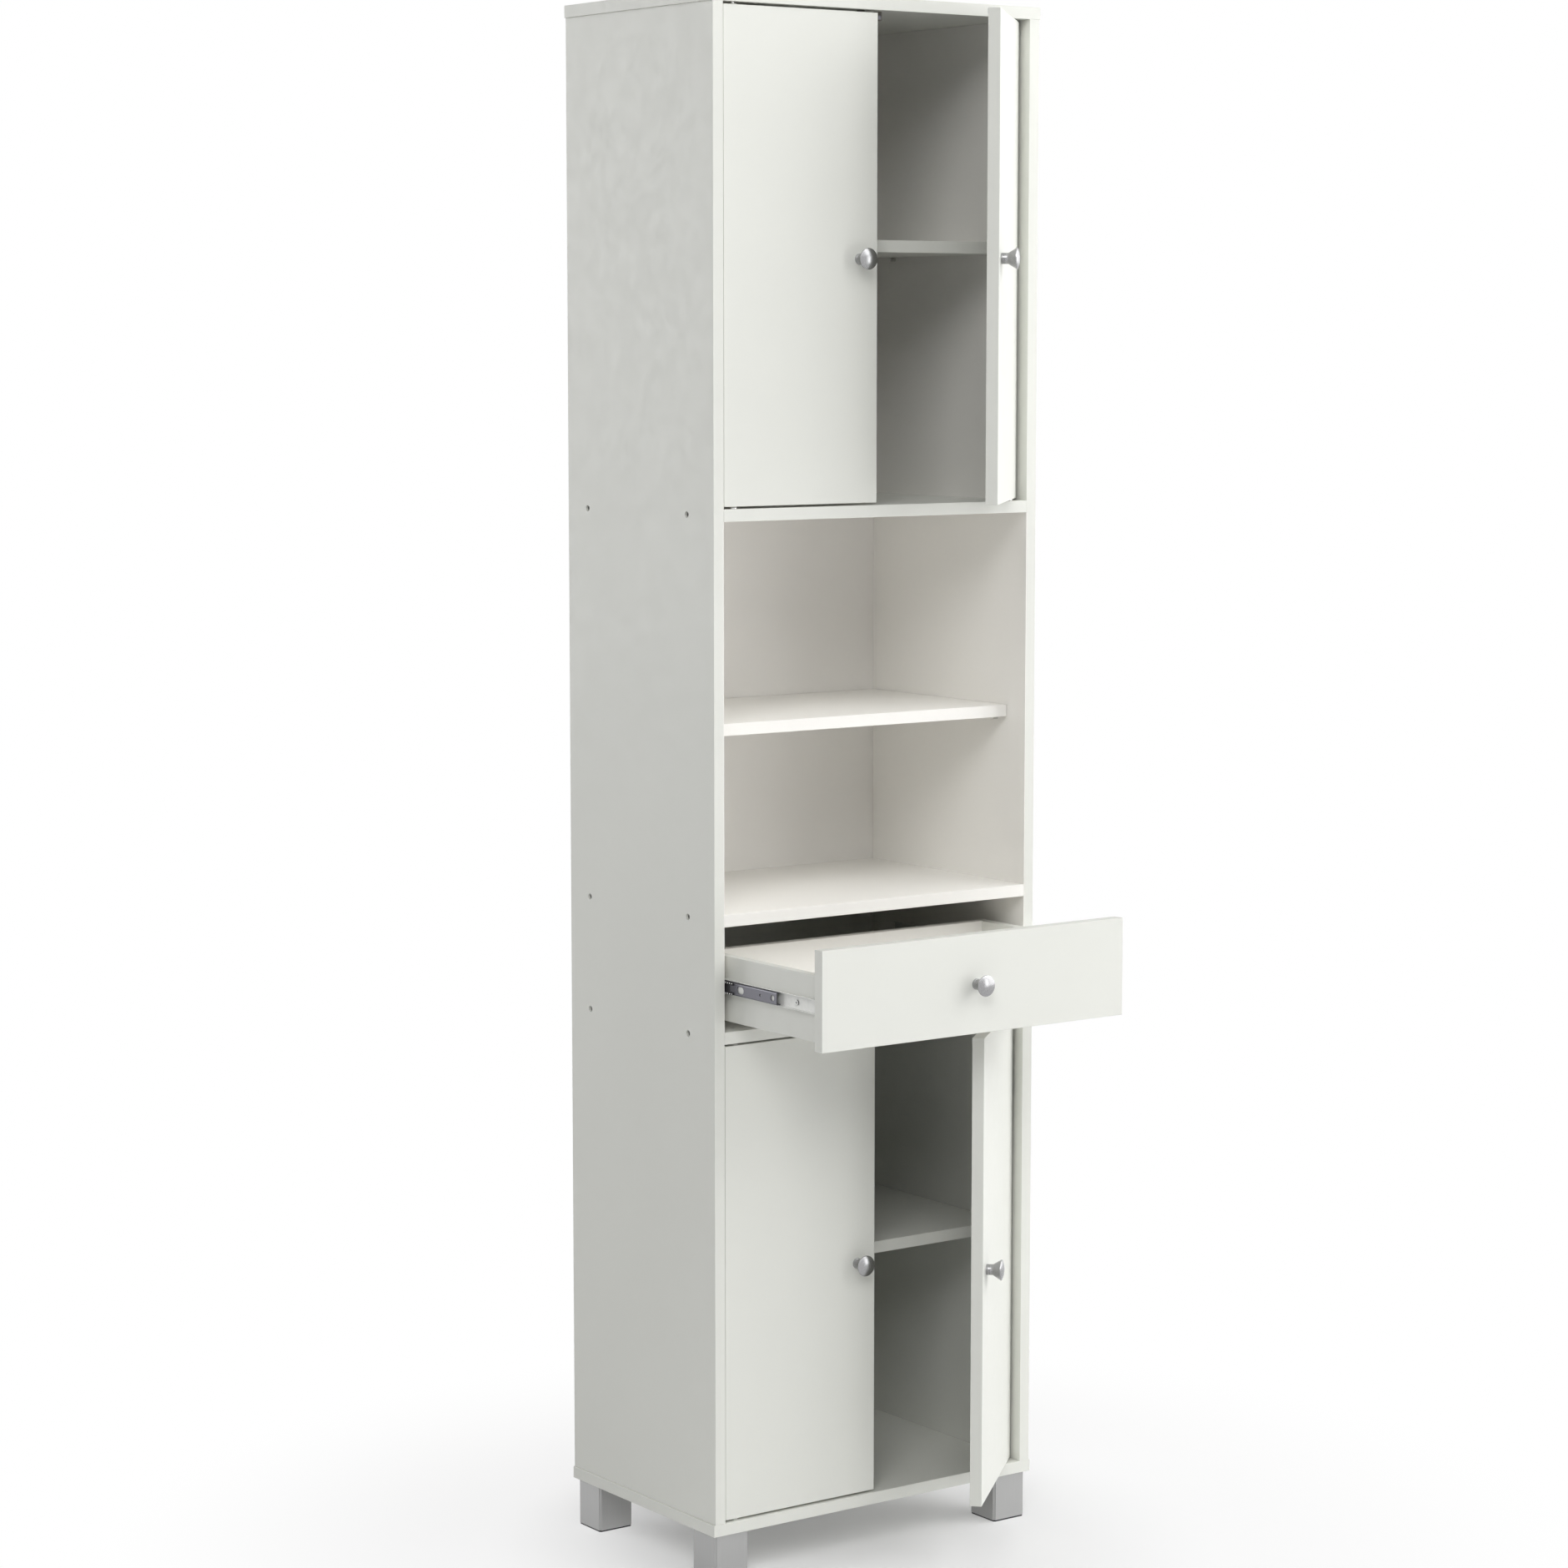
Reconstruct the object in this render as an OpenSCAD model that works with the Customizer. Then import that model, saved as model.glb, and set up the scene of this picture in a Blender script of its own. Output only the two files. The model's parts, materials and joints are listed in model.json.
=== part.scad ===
// Bathroom storage tower: a free-standing column with a pair of inset doors at the top and
// another at the bottom, an open niche and a drawer between them, on four square legs.
// Millimetres, +Z up, +X to the right and +Y to the back for someone who faces the front.
// The origin is on the floor, in the middle of the space that the tower takes up as it is
// drawn: drawer pulled out, right-hand doors ajar.
//
// Each sub-part is drawn in the cabinet's own terms (X from the middle, Y from the front
// edges, Z from the underside of the bottom panel), and in_place() puts it in the frame.

/* [Carcass] */
// Width across the outsides of the side panels
body_w = 496; // [400:1:800]
// Depth of the panels, front edge to back edge
body_d = 320; // [310:1:450]
// Thickness of the coated boards
board_t = 15; // [13:0.5:22]
// How far the top and bottom panels stand out beyond each side panel
panel_lip = 2; // [0:0.5:6]
// Thickness of the hardboard back
back_t = 3; // [2:0.5:6]
// How far the back's edges stay inside the outline of the carcass
back_inset = 2.5; // [1:0.5:6]

/* [Clear heights] */
// Clear height of each cupboard
cupboard_h = 598; // [480:1:700]
// Clear height of the drawer bay
bay_h = 129; // [115:1:200]
// Clear height of the open niche
niche_h = 474.5; // [350:0.5:600]

/* [Loose shelves] */
// Underside of the upper cupboard's shelf above that cupboard's floor
upper_shelf_rise = 308.5; // [150:0.5:450]
// Underside of the niche's shelf above the niche floor
niche_shelf_rise = 213; // [100:1:330]
// Underside of the lower cupboard's shelf above that cupboard's floor
lower_shelf_rise = 298; // [150:1:450]
// Gap between the swinging doors and the loose shelves behind them
shelf_clear = 6; // [3:1:20]
// Gap at each end of a loose shelf, and behind it
shelf_gap = 1; // [0.5:0.1:2]
// Diameter of a shelf pin
shelf_pin_d = 5; // [4:0.5:7]
// Length of a shelf pin inside the side panel
shelf_pin_in = 8; // [6:0.5:10]
// Length of a shelf pin that carries the shelf
shelf_pin_out = 8; // [6:0.5:12]

/* [Legs] */
// Side of a square leg
leg_w = 50; // [46:1:60]
// Height of a leg without its glide
leg_h = 59; // [35:1:150]
// How far the legs stand in from the outline of the bottom panel
leg_inset = 5; // [2:0.5:20]
// Wall of a leg
leg_wall = 1.5; // [1:0.1:1.5]
// Radius of a leg's upright edges
leg_round = 2.5; // [1.8:0.1:6]
// Thickness of a leg's top plate
leg_plate_t = 3; // [2:0.5:6]
// Thickness of the glide's sole under the leg
glide_t = 2; // [1:0.5:5]
// Height of the glide's plug inside the leg
glide_plug_h = 8; // [4:1:20]
// Distance from a leg's middle to its screws, along X and along Y
leg_screw_off = 13; // [11:0.5:15]

/* [Doors] */
// How far the doors, and the drawer front when it is shut, stand behind the front edges
front_inset = 3; // [0:0.5:8]
// Thickness of the doors
door_t = 15; // [13:0.5:18]
// Gap between a door and the side panel
door_gap_side = 2.5; // [2:0.1:4]
// Gap between the two doors of a pair
door_gap_mid = 4.4; // [3:0.1:12]
// Gap above a door
door_gap_top = 3.1; // [2.2:0.1:5]
// Gap below a door
door_gap_bottom = 2.9; // [2.6:0.1:5]
// Gap between a door's hinge corner and the side panel as the door swings
swing_gap = 1; // [0.5:0.1:1.5]
// Diameter of a pivot pin
pivot_d = 5; // [4:0.5:6]
// Length of a pivot pin inside the board
pivot_in = 10; // [6:0.5:11]
// Length of a pivot pin inside the bush
pivot_out = 8; // [5:0.5:9]
// Outer diameter of a pivot bush
bush_d = 8; // [7.5:0.5:9]
// Length of a pivot bush inside the door
bush_l = 10; // [9.5:0.5:20]
// Diameter of the bush's flange and of the pin's collar
flange_d = 10; // [9.5:0.5:12]
// Thickness of the bush's flange
flange_t = 1.2; // [0.8:0.1:1.6]
// Running gap between the bush's flange and the pin's collar
collar_gap = 0.3; // [0.2:0.1:0.5]
// Angle at which the upper right door stands ajar
upper_right_angle = 45.3; // [0:0.1:110]
// Angle at which the lower right door stands ajar
lower_right_angle = 42; // [0:0.1:110]

/* [Door catches] */
// Distance from a door's free edge to its catch
catch_edge = 10.5; // [9:0.5:40]
// Diameter of a catch
catch_d = 10; // [9:0.5:14]
// Length of a catch inside the board
catch_in = 9; // [6:0.5:11]
// How far a catch reaches below the steel plate on the door
catch_lap = 0.3; // [0.2:0.1:2]
// Depth of the flat on a catch that faces the door
catch_flat = 0.5; // [0.3:0.1:1]
// Diameter of the magnet
magnet_d = 5; // [3:0.5:5]
// Length of the magnet
magnet_l = 5; // [3:0.5:5]
// How far the magnet sits behind the catch's flat
magnet_sink = 0.2; // [0:0.1:0.4]
// Width of the steel plate on the door
strike_w = 14; // [10:1:16]
// Height of the steel plate on the door
strike_h = 6.4; // [5.6:0.1:10]
// Distance from the door's top edge to the steel plate
strike_inset = 0.8; // [0.5:0.1:2]
// Thickness of the steel plate on the door
strike_t = 0.8; // [0.5:0.1:1.5]
// Diameter of the plate's spigot
strike_pin_d = 3; // [2:0.5:5]
// Length of the plate's spigot
strike_pin_l = 8; // [4:0.5:11]
// Gap between plate and catch when the door is shut
catch_gap = 0.3; // [0.2:0.1:0.5]

/* [Knobs] */
// Diameter of a knob's stem
knob_stem_d = 13.6; // [10:0.2:18]
// Length of a knob's stem
knob_stem_l = 8.5; // [6:0.5:16]
// Diameter of a knob's head
knob_head_d = 26; // [20:0.5:36]
// Length of the flare from the stem to the head
knob_flare_l = 10; // [4:0.5:14]
// Thickness of the head's rim
knob_rim_t = 1; // [0.5:0.1:3]
// Height of the head's dome
knob_dome = 3; // [1:0.5:6]
// Distance from a door's free edge to the knob's axis
knob_edge = 27.2; // [20:0.1:60]
// Diameter of a knob screw
knob_screw_d = 4; // [3:0.5:5]
// Length of the knob screw inside the knob
knob_screw_in = 8; // [5:1:10]
// Diameter of the knob screw's head
knob_screw_head_d = 8; // [6:0.5:11]
// Thickness of the knob screw's head
knob_screw_head_t = 2.4; // [1.5:0.1:4]

/* [Drawer] */
// How far the drawer stands open
drawer_out = 199.4; // [0:0.1:230]
// Thickness of the drawer front
front_t = 15; // [13:0.5:20]
// Gap at each end of the drawer front
front_gap_side = 2; // [1.5:0.1:4]
// Gap above the drawer front
front_gap_top = 4.3; // [2:0.1:6]
// Gap below the drawer front
front_gap_bottom = 3.2; // [2:0.1:6]
// Thickness of the drawer's sides and back
drawer_board_t = 12; // [10:0.5:16]
// Height of the drawer's sides and back
drawer_h = 80; // [74:1:90]
// Length of the drawer's sides
drawer_l = 250; // [220:1:270]
// Underside of the drawer's sides above the bay's floor
drawer_rise = 12; // [6:1:20]
// Thickness of the drawer's bottom
drawer_bottom_t = 3; // [2.5:0.5:4]
// Underside of the drawer's bottom above the underside of its sides
drawer_bottom_rise = 8; // [6:1:10]
// Depth of the groove that holds the drawer's bottom
groove_depth = 6; // [4:0.5:7]
// How far the bottom's edges stay short of the ends of the grooves
groove_play = 0.2; // [0.1:0.1:1]
// Diameter of the drawer's dowels
drawer_dowel_d = 6; // [5:0.5:7]
// Length of a drawer dowel inside the piece whose face it enters
drawer_dowel_face = 8; // [5:0.5:9]
// Length of a drawer dowel inside the piece whose end it enters
drawer_dowel_end = 16; // [10:1:22]
// Distance from the edges of the drawer's sides to their dowels
drawer_dowel_edge = 20; // [19:0.5:28]

/* [Drawer slides] */
// Width that a slide takes between the side panel and the drawer
slide_w = 10; // [9.5:0.1:14]
// Height of a slide
slide_h = 18; // [16:0.5:27]
// How much shorter the cabinet member and the drawer member are than the drawer's sides
slide_short = 2; // [0:1:20]
// How much shorter the middle member is than the drawer's sides
middle_short = 20; // [12:1:50]
// Thickness of the slide's steel
slide_steel = 1; // [0.8:0.1:1.2]
// Length of the lips on the cabinet member and on the drawer member
slide_lip = 3.6; // [3:0.1:4.2]
// Running gap between two slide members, above and below
slide_gap = 0.4; // [0.3:0.1:0.8]
// Distance from the cabinet member's web to the middle member's web
middle_standoff = 1.8; // [1.6:0.1:2.2]
// Distance from the shut drawer front to the ends of the cabinet and middle members
slide_lead = 3; // [1:0.5:10]
// How far the middle member travels for each millimetre of the drawer
middle_share = 0.625; // [0.5:0.005:0.7]
// Middle of the slides above the underside of the drawer's sides
slide_rise = 43.3; // [30:0.1:50]
// Distance from a member's ends to its outer screws
slide_screw_end = 44; // [30:1:60]
// Largest distance between the slide screws
slide_screw_step = 80; // [50:1:100]
// Length of the oval openings in the middle member
slot_l = 14; // [11:1:20]
// Height of the oval openings in the middle member
slot_h = 9; // [6:0.5:10]
// Distance from the middle member's ends to its oval openings
slot_end = 75; // [60:1:90]
// Diameter of the large round holes in the middle member
large_hole_d = 7.5; // [5:0.5:9]
// Distance from the middle member's ends to its large round holes
large_hole_end = 8.5; // [6:0.5:14]
// Diameter of the small round holes in the middle member
small_hole_d = 3.5; // [2:0.5:5]
// Distance from the middle member's ends to its small round holes
small_hole_end = 33.5; // [24:0.5:45]

/* [Fastenings] */
// Line of the front fastenings behind the front edges
fixing_front = 57; // [50:1:80]
// Line of the back fastenings in front of the back edges
fixing_back = 44; // [30:1:70]
// Diameter of a panel screw's head
panel_screw_head_d = 7; // [6:0.5:8]
// Length of a panel screw's head
panel_screw_head_l = 4; // [3:0.5:6]
// Diameter of a panel screw's shank
panel_screw_d = 5; // [4:0.5:6]
// Length of a panel screw's shank
panel_screw_l = 42; // [34:1:55]
// Depth at which a panel screw's head is sunk
panel_screw_sink = 3; // [1:0.5:4]
// Diameter of the hole over a panel screw's head
panel_screw_bore_d = 7.6; // [7.2:0.1:9]
// Diameter of the panel dowels
dowel_d = 8; // [6:0.5:10]
// Length of a panel dowel inside the board whose face it enters
dowel_face = 10; // [6:0.5:11]
// Length of a panel dowel inside the board whose end it enters
dowel_end = 20; // [12:1:30]
// Diameter of a wood screw
wood_screw_d = 3.2; // [2.5:0.1:4]
// Length of a wood screw inside the wood
wood_screw_l = 10; // [8:0.5:11]
// Diameter of a wood screw's head
wood_screw_head_d = 6.4; // [5:0.2:7.6]
// Thickness of a wood screw's head
wood_screw_head_t = 1.4; // [1:0.1:1.5]
// Diameter of a back nail
nail_d = 1.6; // [1.2:0.1:2.4]
// Length of a back nail inside the wood
nail_l = 15; // [10:1:25]
// Distance from the ends of the boards to the first back nail
nail_end = 110; // [80:5:150]
// Largest distance between the back nails
nail_step = 280; // [150:10:400]
// Diameter of a back nail's head
nail_head_d = 4; // [3:0.5:6]
// Thickness of a back nail's head
nail_head_t = 0.6; // [0.4:0.1:1]
// Radial gap round pins, screws, dowels and plugs
fit_gap = 0.05; // [0.02:0.01:0.1]

/* [Hidden] */

$fn = 48;
// Cutters reach this far past the faces that they cut
over = 1;
left = -1;
right = 1;
// Recesses in the screws' heads, as shares of the head, and the depth of a cross
hex_share = 0.5;
hex_depth_share = 0.75;
cross_share = 0.6;
cross_bar_share = 0.2;
cross_depth = 0.7;

coat = [0.93, 0.93, 0.90];
hardboard = [0.88, 0.88, 0.86];
satin_metal = [0.72, 0.72, 0.72];
zinc = [0.62, 0.63, 0.65];
dark_steel = [0.40, 0.40, 0.43];
beech = [0.80, 0.66, 0.46];
dark_plastic = [0.20, 0.20, 0.20];
white_plastic = [0.88, 0.88, 0.86];

// Places from one end to the other, evenly spaced and no further apart than step
function spread(from, to, step) =
    let (spaces = ceil((to - from) / step))
    [for (i = [0:spaces]) from + i * (to - from) / spaces];

// Levels, up from the underside of the bottom panel
cup_low = board_t;
bay_low = cup_low + cupboard_h + board_t;
niche_low = bay_low + bay_h + board_t;
cup_up = niche_low + niche_h + board_t;
body_h = cup_up + cupboard_h + board_t;
stand_h = leg_h + glide_t;
upper_shelf_z = cup_up + upper_shelf_rise;
niche_shelf_z = niche_low + niche_shelf_rise;
lower_shelf_z = cup_low + lower_shelf_rise;
fixed_shelf_zs = [bay_low - board_t, niche_low - board_t, cup_up - board_t];
loose_shelf_zs = [lower_shelf_z, niche_shelf_z, upper_shelf_z];
back_seam_z = niche_low - board_t / 2;

// Places across and along
half_out = body_w / 2;
half_in = half_out - board_t;
panel_half = half_out + panel_lip;
side_mid_x = half_out - board_t / 2;
fixing_ys = [fixing_front, body_d - fixing_back];
dowel_y = body_d / 2;
knob_l = knob_stem_l + knob_flare_l + knob_rim_t + knob_dome;
drawer_face_y = front_inset - drawer_out;
front_y = (knob_l - drawer_face_y - body_d - back_t - nail_head_t) / 2;

// Doors
door_x = [door_gap_mid / 2, half_in - door_gap_side];
door_h = cupboard_h - door_gap_top - door_gap_bottom;
door_back_y = front_inset + door_t;
pivot_y = front_inset + door_t / 2;
// The pivot stands where the hinge corner's circle passes the side panel by swing_gap
pivot_inset = (pow(door_gap_side, 2) + pow(door_t / 2, 2) - pow(swing_gap, 2))
    / (2 * (door_gap_side - swing_gap));
pivot_x = half_in - pivot_inset;
shelf_recess = pivot_y + pivot_inset - swing_gap + shelf_clear;
knob_x = door_x[0] + knob_edge;
cup_floors = [cup_low, cup_up];
collar_t = door_gap_bottom - flange_t - collar_gap;
catch_off = door_x[0] + catch_edge;
catch_y = door_back_y + strike_t + catch_gap - catch_flat + catch_d / 2;
strike_drop = door_gap_top + strike_inset + strike_h / 2;
catch_drop = strike_drop + strike_h / 2 + catch_lap;
// Front of the magnet, from the catch's axis
magnet_y = catch_flat - catch_d / 2 + magnet_sink;

// Drawer and slides
front_x = half_in - front_gap_side;
front_z = [bay_low + front_gap_bottom, bay_low + bay_h - front_gap_top];
drawer_knob_z = (front_z[0] + front_z[1]) / 2;
drawer_side_out = half_in - slide_w;
drawer_side_in = drawer_side_out - drawer_board_t;
drawer_y = drawer_face_y + front_t;
drawer_z = bay_low + drawer_rise;
slide_z = drawer_z + slide_rise;
slide_y = front_inset + front_t + slide_lead;
middle_y = slide_y - middle_share * drawer_out;
middle_h = slide_h - 2 * slide_steel - 2 * slide_gap;
slide_l = drawer_l - slide_short;
middle_l = drawer_l - middle_short;
slide_screw_ys = spread(slide_screw_end, slide_l - slide_screw_end, slide_screw_step);
drawer_dowel_zs = [drawer_z + drawer_dowel_edge, drawer_z + drawer_h - drawer_dowel_edge];

// Legs
leg_x = panel_half - leg_inset - leg_w / 2;
leg_ys = [leg_inset + leg_w / 2, body_d - leg_inset - leg_w / 2];

// Nails: up both side panels, and across each board that the back covers
nail_y = body_d + back_t;
nail_side_zs = spread(nail_end, body_h - nail_end, nail_step);
nail_cross_xs = spread(nail_end - half_in, half_in - nail_end, nail_step);
nail_cross_zs = [board_t / 2, fixed_shelf_zs[0] + board_t / 2, back_seam_z - board_t / 4,
    back_seam_z + board_t / 4, fixed_shelf_zs[2] + board_t / 2, body_h - board_t / 2];
nail_spots = concat(
    [for (s = [left, right], z = nail_side_zs) [s * side_mid_x, z]],
    [for (x = nail_cross_xs, z = nail_cross_zs) [x, z]]
);

// ---- Shapes that repeat ----

module in_place() translate([0, front_y, stand_h]) children();

// A box between two values on each axis, in any order
module block(x, y, z) {
    translate([min(x), min(y), min(z)])
        cube([max(x) - min(x), max(y) - min(y), max(z) - min(z)]);
}

// A rod from a point along X, Y or Z; a negative length points the other way
module rod_x(at, len, d) translate(at) rotate([0, len < 0 ? -90 : 90, 0])
    cylinder(h = abs(len), d = d);
module rod_y(at, len, d) translate(at) rotate([len < 0 ? 90 : -90, 0, 0])
    cylinder(h = abs(len), d = d);
module rod_z(at, len, d) translate(at) rotate([len < 0 ? 180 : 0, 0, 0])
    cylinder(h = abs(len), d = d);

// A square post up from 0, with upright edges of radius r
module post(w, h, r) {
    reach = w / 2 - r;
    block([-w / 2, w / 2], [-reach, reach], [0, h]);
    block([-reach, reach], [-w / 2, w / 2], [0, h]);
    for (x = [-reach, reach], y = [-reach, reach]) rod_z([x, y, 0], h, r);
}

// Turns a shape drawn up +Z, with its mating face at 0, to point along another axis
module facing(axis) {
    turn = axis == "+x" ? [0, 90, 0] : axis == "-x" ? [0, -90, 0]
        : axis == "+y" ? [-90, 0, 0] : axis == "-y" ? [90, 0, 0]
        : axis == "-z" ? [180, 0, 0] : [0, 0, 0];
    rotate(turn) children();
}

// A panel screw points up +Z from the outside of the board at 0
module panel_screw() {
    difference() {
        union() {
            rod_z([0, 0, panel_screw_sink], panel_screw_head_l, panel_screw_head_d);
            rod_z([0, 0, panel_screw_sink + panel_screw_head_l - over],
                panel_screw_l + over, panel_screw_d);
        }
        rod_z([0, 0, panel_screw_sink - over], over + panel_screw_head_l * hex_depth_share,
            panel_screw_head_d * hex_share, $fn = 6);
    }
}
module panel_screw_bore() {
    rod_z([0, 0, -over], panel_screw_sink + panel_screw_head_l + over, panel_screw_bore_d);
    rod_z([0, 0, 0], panel_screw_sink + panel_screw_head_l + panel_screw_l + 2 * fit_gap,
        panel_screw_d + 2 * fit_gap);
}

// A wood screw points up +Z, its head below 0; lead is what lies between head and wood
module wood_screw(lead) {
    difference() {
        union() {
            rod_z([0, 0, -wood_screw_head_t], wood_screw_head_t, wood_screw_head_d);
            rod_z([0, 0, -wood_screw_head_t / 2], wood_screw_head_t / 2 + lead + wood_screw_l,
                wood_screw_d);
        }
        cross_recess(-wood_screw_head_t, wood_screw_head_d);
    }
}

// The cross in a screw's head of diameter head_d, whose outer face is at z
module cross_recess(z, head_d) {
    w = head_d * cross_share;
    bar = head_d * cross_share * cross_bar_share;
    for (turn = [0, 90]) rotate([0, 0, turn]) translate([-w / 2, -bar / 2, z - over])
        cube([w, bar, over + cross_depth]);
}

module wood_screw_bore() {
    rod_z([0, 0, -over], over + wood_screw_l + 2 * fit_gap, wood_screw_d + 2 * fit_gap);
}

// A dowel lies across z = 0, face_l below it and end_l above
module dowel(d, face_l, end_l) rod_z([0, 0, -face_l], face_l + end_l, d);
module dowel_bore(d, face_l, end_l) {
    dowel(d + 2 * fit_gap, face_l + fit_gap, end_l + fit_gap);
}

// ---- Fastenings in the carcass, as children at every spot ----

// Panel screws: through the side panels into the fixed shelves, and through the top and
// bottom panels into the side panels
module at_panel_screws() {
    for (y = fixing_ys) {
        for (z = fixed_shelf_zs) {
            translate([-half_out, y, z + board_t / 2]) facing("+x") children();
            translate([half_out, y, z + board_t / 2]) facing("-x") children();
        }
        for (s = [left, right]) {
            translate([s * side_mid_x, y, 0]) facing("+z") children();
            translate([s * side_mid_x, y, body_h]) facing("-z") children();
        }
    }
}

// Dowels: one in each joint of a fixed shelf, one in each corner joint
module at_panel_dowels() {
    for (z = fixed_shelf_zs) {
        translate([-half_in, dowel_y, z + board_t / 2]) facing("+x") children();
        translate([half_in, dowel_y, z + board_t / 2]) facing("-x") children();
    }
    for (s = [left, right]) {
        translate([s * side_mid_x, dowel_y, board_t]) facing("+z") children();
        translate([s * side_mid_x, dowel_y, body_h - board_t]) facing("-z") children();
    }
}

module at_back_nails() {
    for (spot = nail_spots) translate([spot[0], nail_y, spot[1]]) facing("-y") children();
}

module at_leg_screws() {
    for (s = [left, right], y = leg_ys, ox = [-1, 1], oy = [-1, 1])
        translate([s * leg_x + ox * leg_screw_off, y + oy * leg_screw_off, 0]) children();
}

// Screws of the cabinet members, pointing into the side panels
module at_cabinet_slide_screws() {
    for (y = slide_screw_ys) {
        translate([-half_in, slide_y + y, slide_z]) facing("-x") children();
        translate([half_in, slide_y + y, slide_z]) facing("+x") children();
    }
}

// Screws of the drawer members, pointing into the drawer's sides
module at_drawer_slide_screws() {
    for (y = slide_screw_ys) {
        translate([-drawer_side_out, drawer_y + y, slide_z]) facing("+x") children();
        translate([drawer_side_out, drawer_y + y, slide_z]) facing("-x") children();
    }
}

module at_shelf_pins() {
    for (z = loose_shelf_zs, y = fixing_ys) {
        translate([-half_in, y, z - shelf_pin_d / 2]) facing("+x") children();
        translate([half_in, y, z - shelf_pin_d / 2]) facing("-x") children();
    }
}

// Pivots, with +Z into the door: the floor's pins point up, the ceiling's point down
module at_floor_pivots(floors) {
    for (z = floors, s = [left, right]) translate([s * pivot_x, pivot_y, z]) children();
}
module at_ceiling_pivots(floors) {
    for (z = floors, s = [left, right]) translate([s * pivot_x, pivot_y, z + cupboard_h])
        facing("-z") children();
}

module at_catches(floors) {
    for (z = floors, s = [left, right]) translate([s * catch_off, catch_y, z + cupboard_h])
        children();
}

// Everything that is bored or cut into the boards of the carcass
module carcass_bores() {
    at_panel_screws() panel_screw_bore();
    at_panel_dowels() dowel_bore(dowel_d, dowel_face, dowel_end);
    at_back_nails() rod_z([0, 0, -over], over + back_t + nail_l + fit_gap,
        nail_d + 2 * fit_gap);
}

module pivot_bores(floors) {
    at_floor_pivots(floors) rod_z([0, 0, over], -pivot_in - fit_gap - over,
        pivot_d + 2 * fit_gap);
    at_ceiling_pivots(floors) rod_z([0, 0, over], -pivot_in - fit_gap - over,
        pivot_d + 2 * fit_gap);
}

module catch_bores(floors) {
    at_catches(floors) rod_z([0, 0, -over], over + catch_in + fit_gap, catch_d + 2 * fit_gap);
}

// ---- Carcass ----

module side_panel(s) {
    color(coat) in_place() difference() {
        block([s * half_in, s * half_out], [0, body_d], [board_t, body_h - board_t]);
        carcass_bores();
        at_shelf_pins() rod_z([0, 0, over], -over - shelf_pin_in - fit_gap,
            shelf_pin_d + 2 * fit_gap);
        at_cabinet_slide_screws() wood_screw_bore();
    }
}
module side_panel_left() side_panel(left);
module side_panel_right() side_panel(right);

module top_panel() {
    color(coat) in_place() difference() {
        block([-panel_half, panel_half], [0, body_d], [body_h - board_t, body_h]);
        carcass_bores();
        pivot_bores([cup_up]);
        catch_bores([cup_up]);
    }
}

module bottom_panel() {
    color(coat) in_place() difference() {
        block([-panel_half, panel_half], [0, body_d], [0, board_t]);
        carcass_bores();
        pivot_bores([cup_low]);
        at_leg_screws() wood_screw_bore();
    }
}

module fixed_shelf(z, floors) {
    color(coat) in_place() difference() {
        block([-half_in, half_in], [0, body_d], [z, z + board_t]);
        carcass_bores();
        pivot_bores(floors);
        catch_bores(floors);
    }
}
module fixed_shelf_lower() fixed_shelf(fixed_shelf_zs[0], [cup_low]);
module fixed_shelf_middle() fixed_shelf(fixed_shelf_zs[1], []);
module fixed_shelf_upper() fixed_shelf(fixed_shelf_zs[2], [cup_up]);

module back_panel(z) {
    color(hardboard) in_place() difference() {
        block([back_inset - half_out, half_out - back_inset], [body_d, body_d + back_t], z);
        carcass_bores();
    }
}
module back_panel_lower() back_panel([back_inset, back_seam_z - fit_gap]);
module back_panel_upper() back_panel([back_seam_z + fit_gap, body_h - back_inset]);

module back_nails() {
    color(zinc) in_place() at_back_nails() union() {
        rod_z([0, 0, -nail_head_t], nail_head_t, nail_head_d);
        rod_z([0, 0, -nail_head_t / 2], nail_head_t / 2 + back_t + nail_l, nail_d);
    }
}

module panel_screws() color(zinc) in_place() at_panel_screws() panel_screw();

module panel_dowels() {
    color(beech) in_place() at_panel_dowels() dowel(dowel_d, dowel_face, dowel_end);
}

// Screws that hold the legs and the cabinet members of the slides
module wood_screws() {
    color(zinc) in_place() {
        at_leg_screws() translate([0, 0, -leg_plate_t]) wood_screw(leg_plate_t);
        at_cabinet_slide_screws() translate([0, 0, -slide_steel]) wood_screw(slide_steel);
    }
}

// ---- Loose shelves ----

module loose_shelf(z) {
    color(coat) in_place() block([shelf_gap - half_in, half_in - shelf_gap],
        [shelf_recess, body_d - shelf_gap], [z, z + board_t]);
}
module upper_shelf() loose_shelf(upper_shelf_z);
module niche_shelf() loose_shelf(niche_shelf_z);
module lower_shelf() loose_shelf(lower_shelf_z);

module shelf_pins() {
    color(zinc) in_place() at_shelf_pins()
        rod_z([0, 0, -shelf_pin_in], shelf_pin_in + shelf_pin_out, shelf_pin_d);
}

// ---- Legs ----

module leg(s, y) {
    color(satin_metal) in_place() difference() {
        translate([s * leg_x, y, -leg_h]) post(leg_w, leg_h, leg_round);
        translate([s * leg_x, y, -leg_h - over])
            post(leg_w - 2 * leg_wall, leg_h + over - leg_plate_t, leg_round - leg_wall);
        at_leg_screws() rod_z([0, 0, over], -leg_plate_t - 2 * over,
            wood_screw_d + 2 * fit_gap);
    }
}
module leg_front_left() leg(left, leg_ys[0]);
module leg_front_right() leg(right, leg_ys[0]);
module leg_back_left() leg(left, leg_ys[1]);
module leg_back_right() leg(right, leg_ys[1]);

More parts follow.
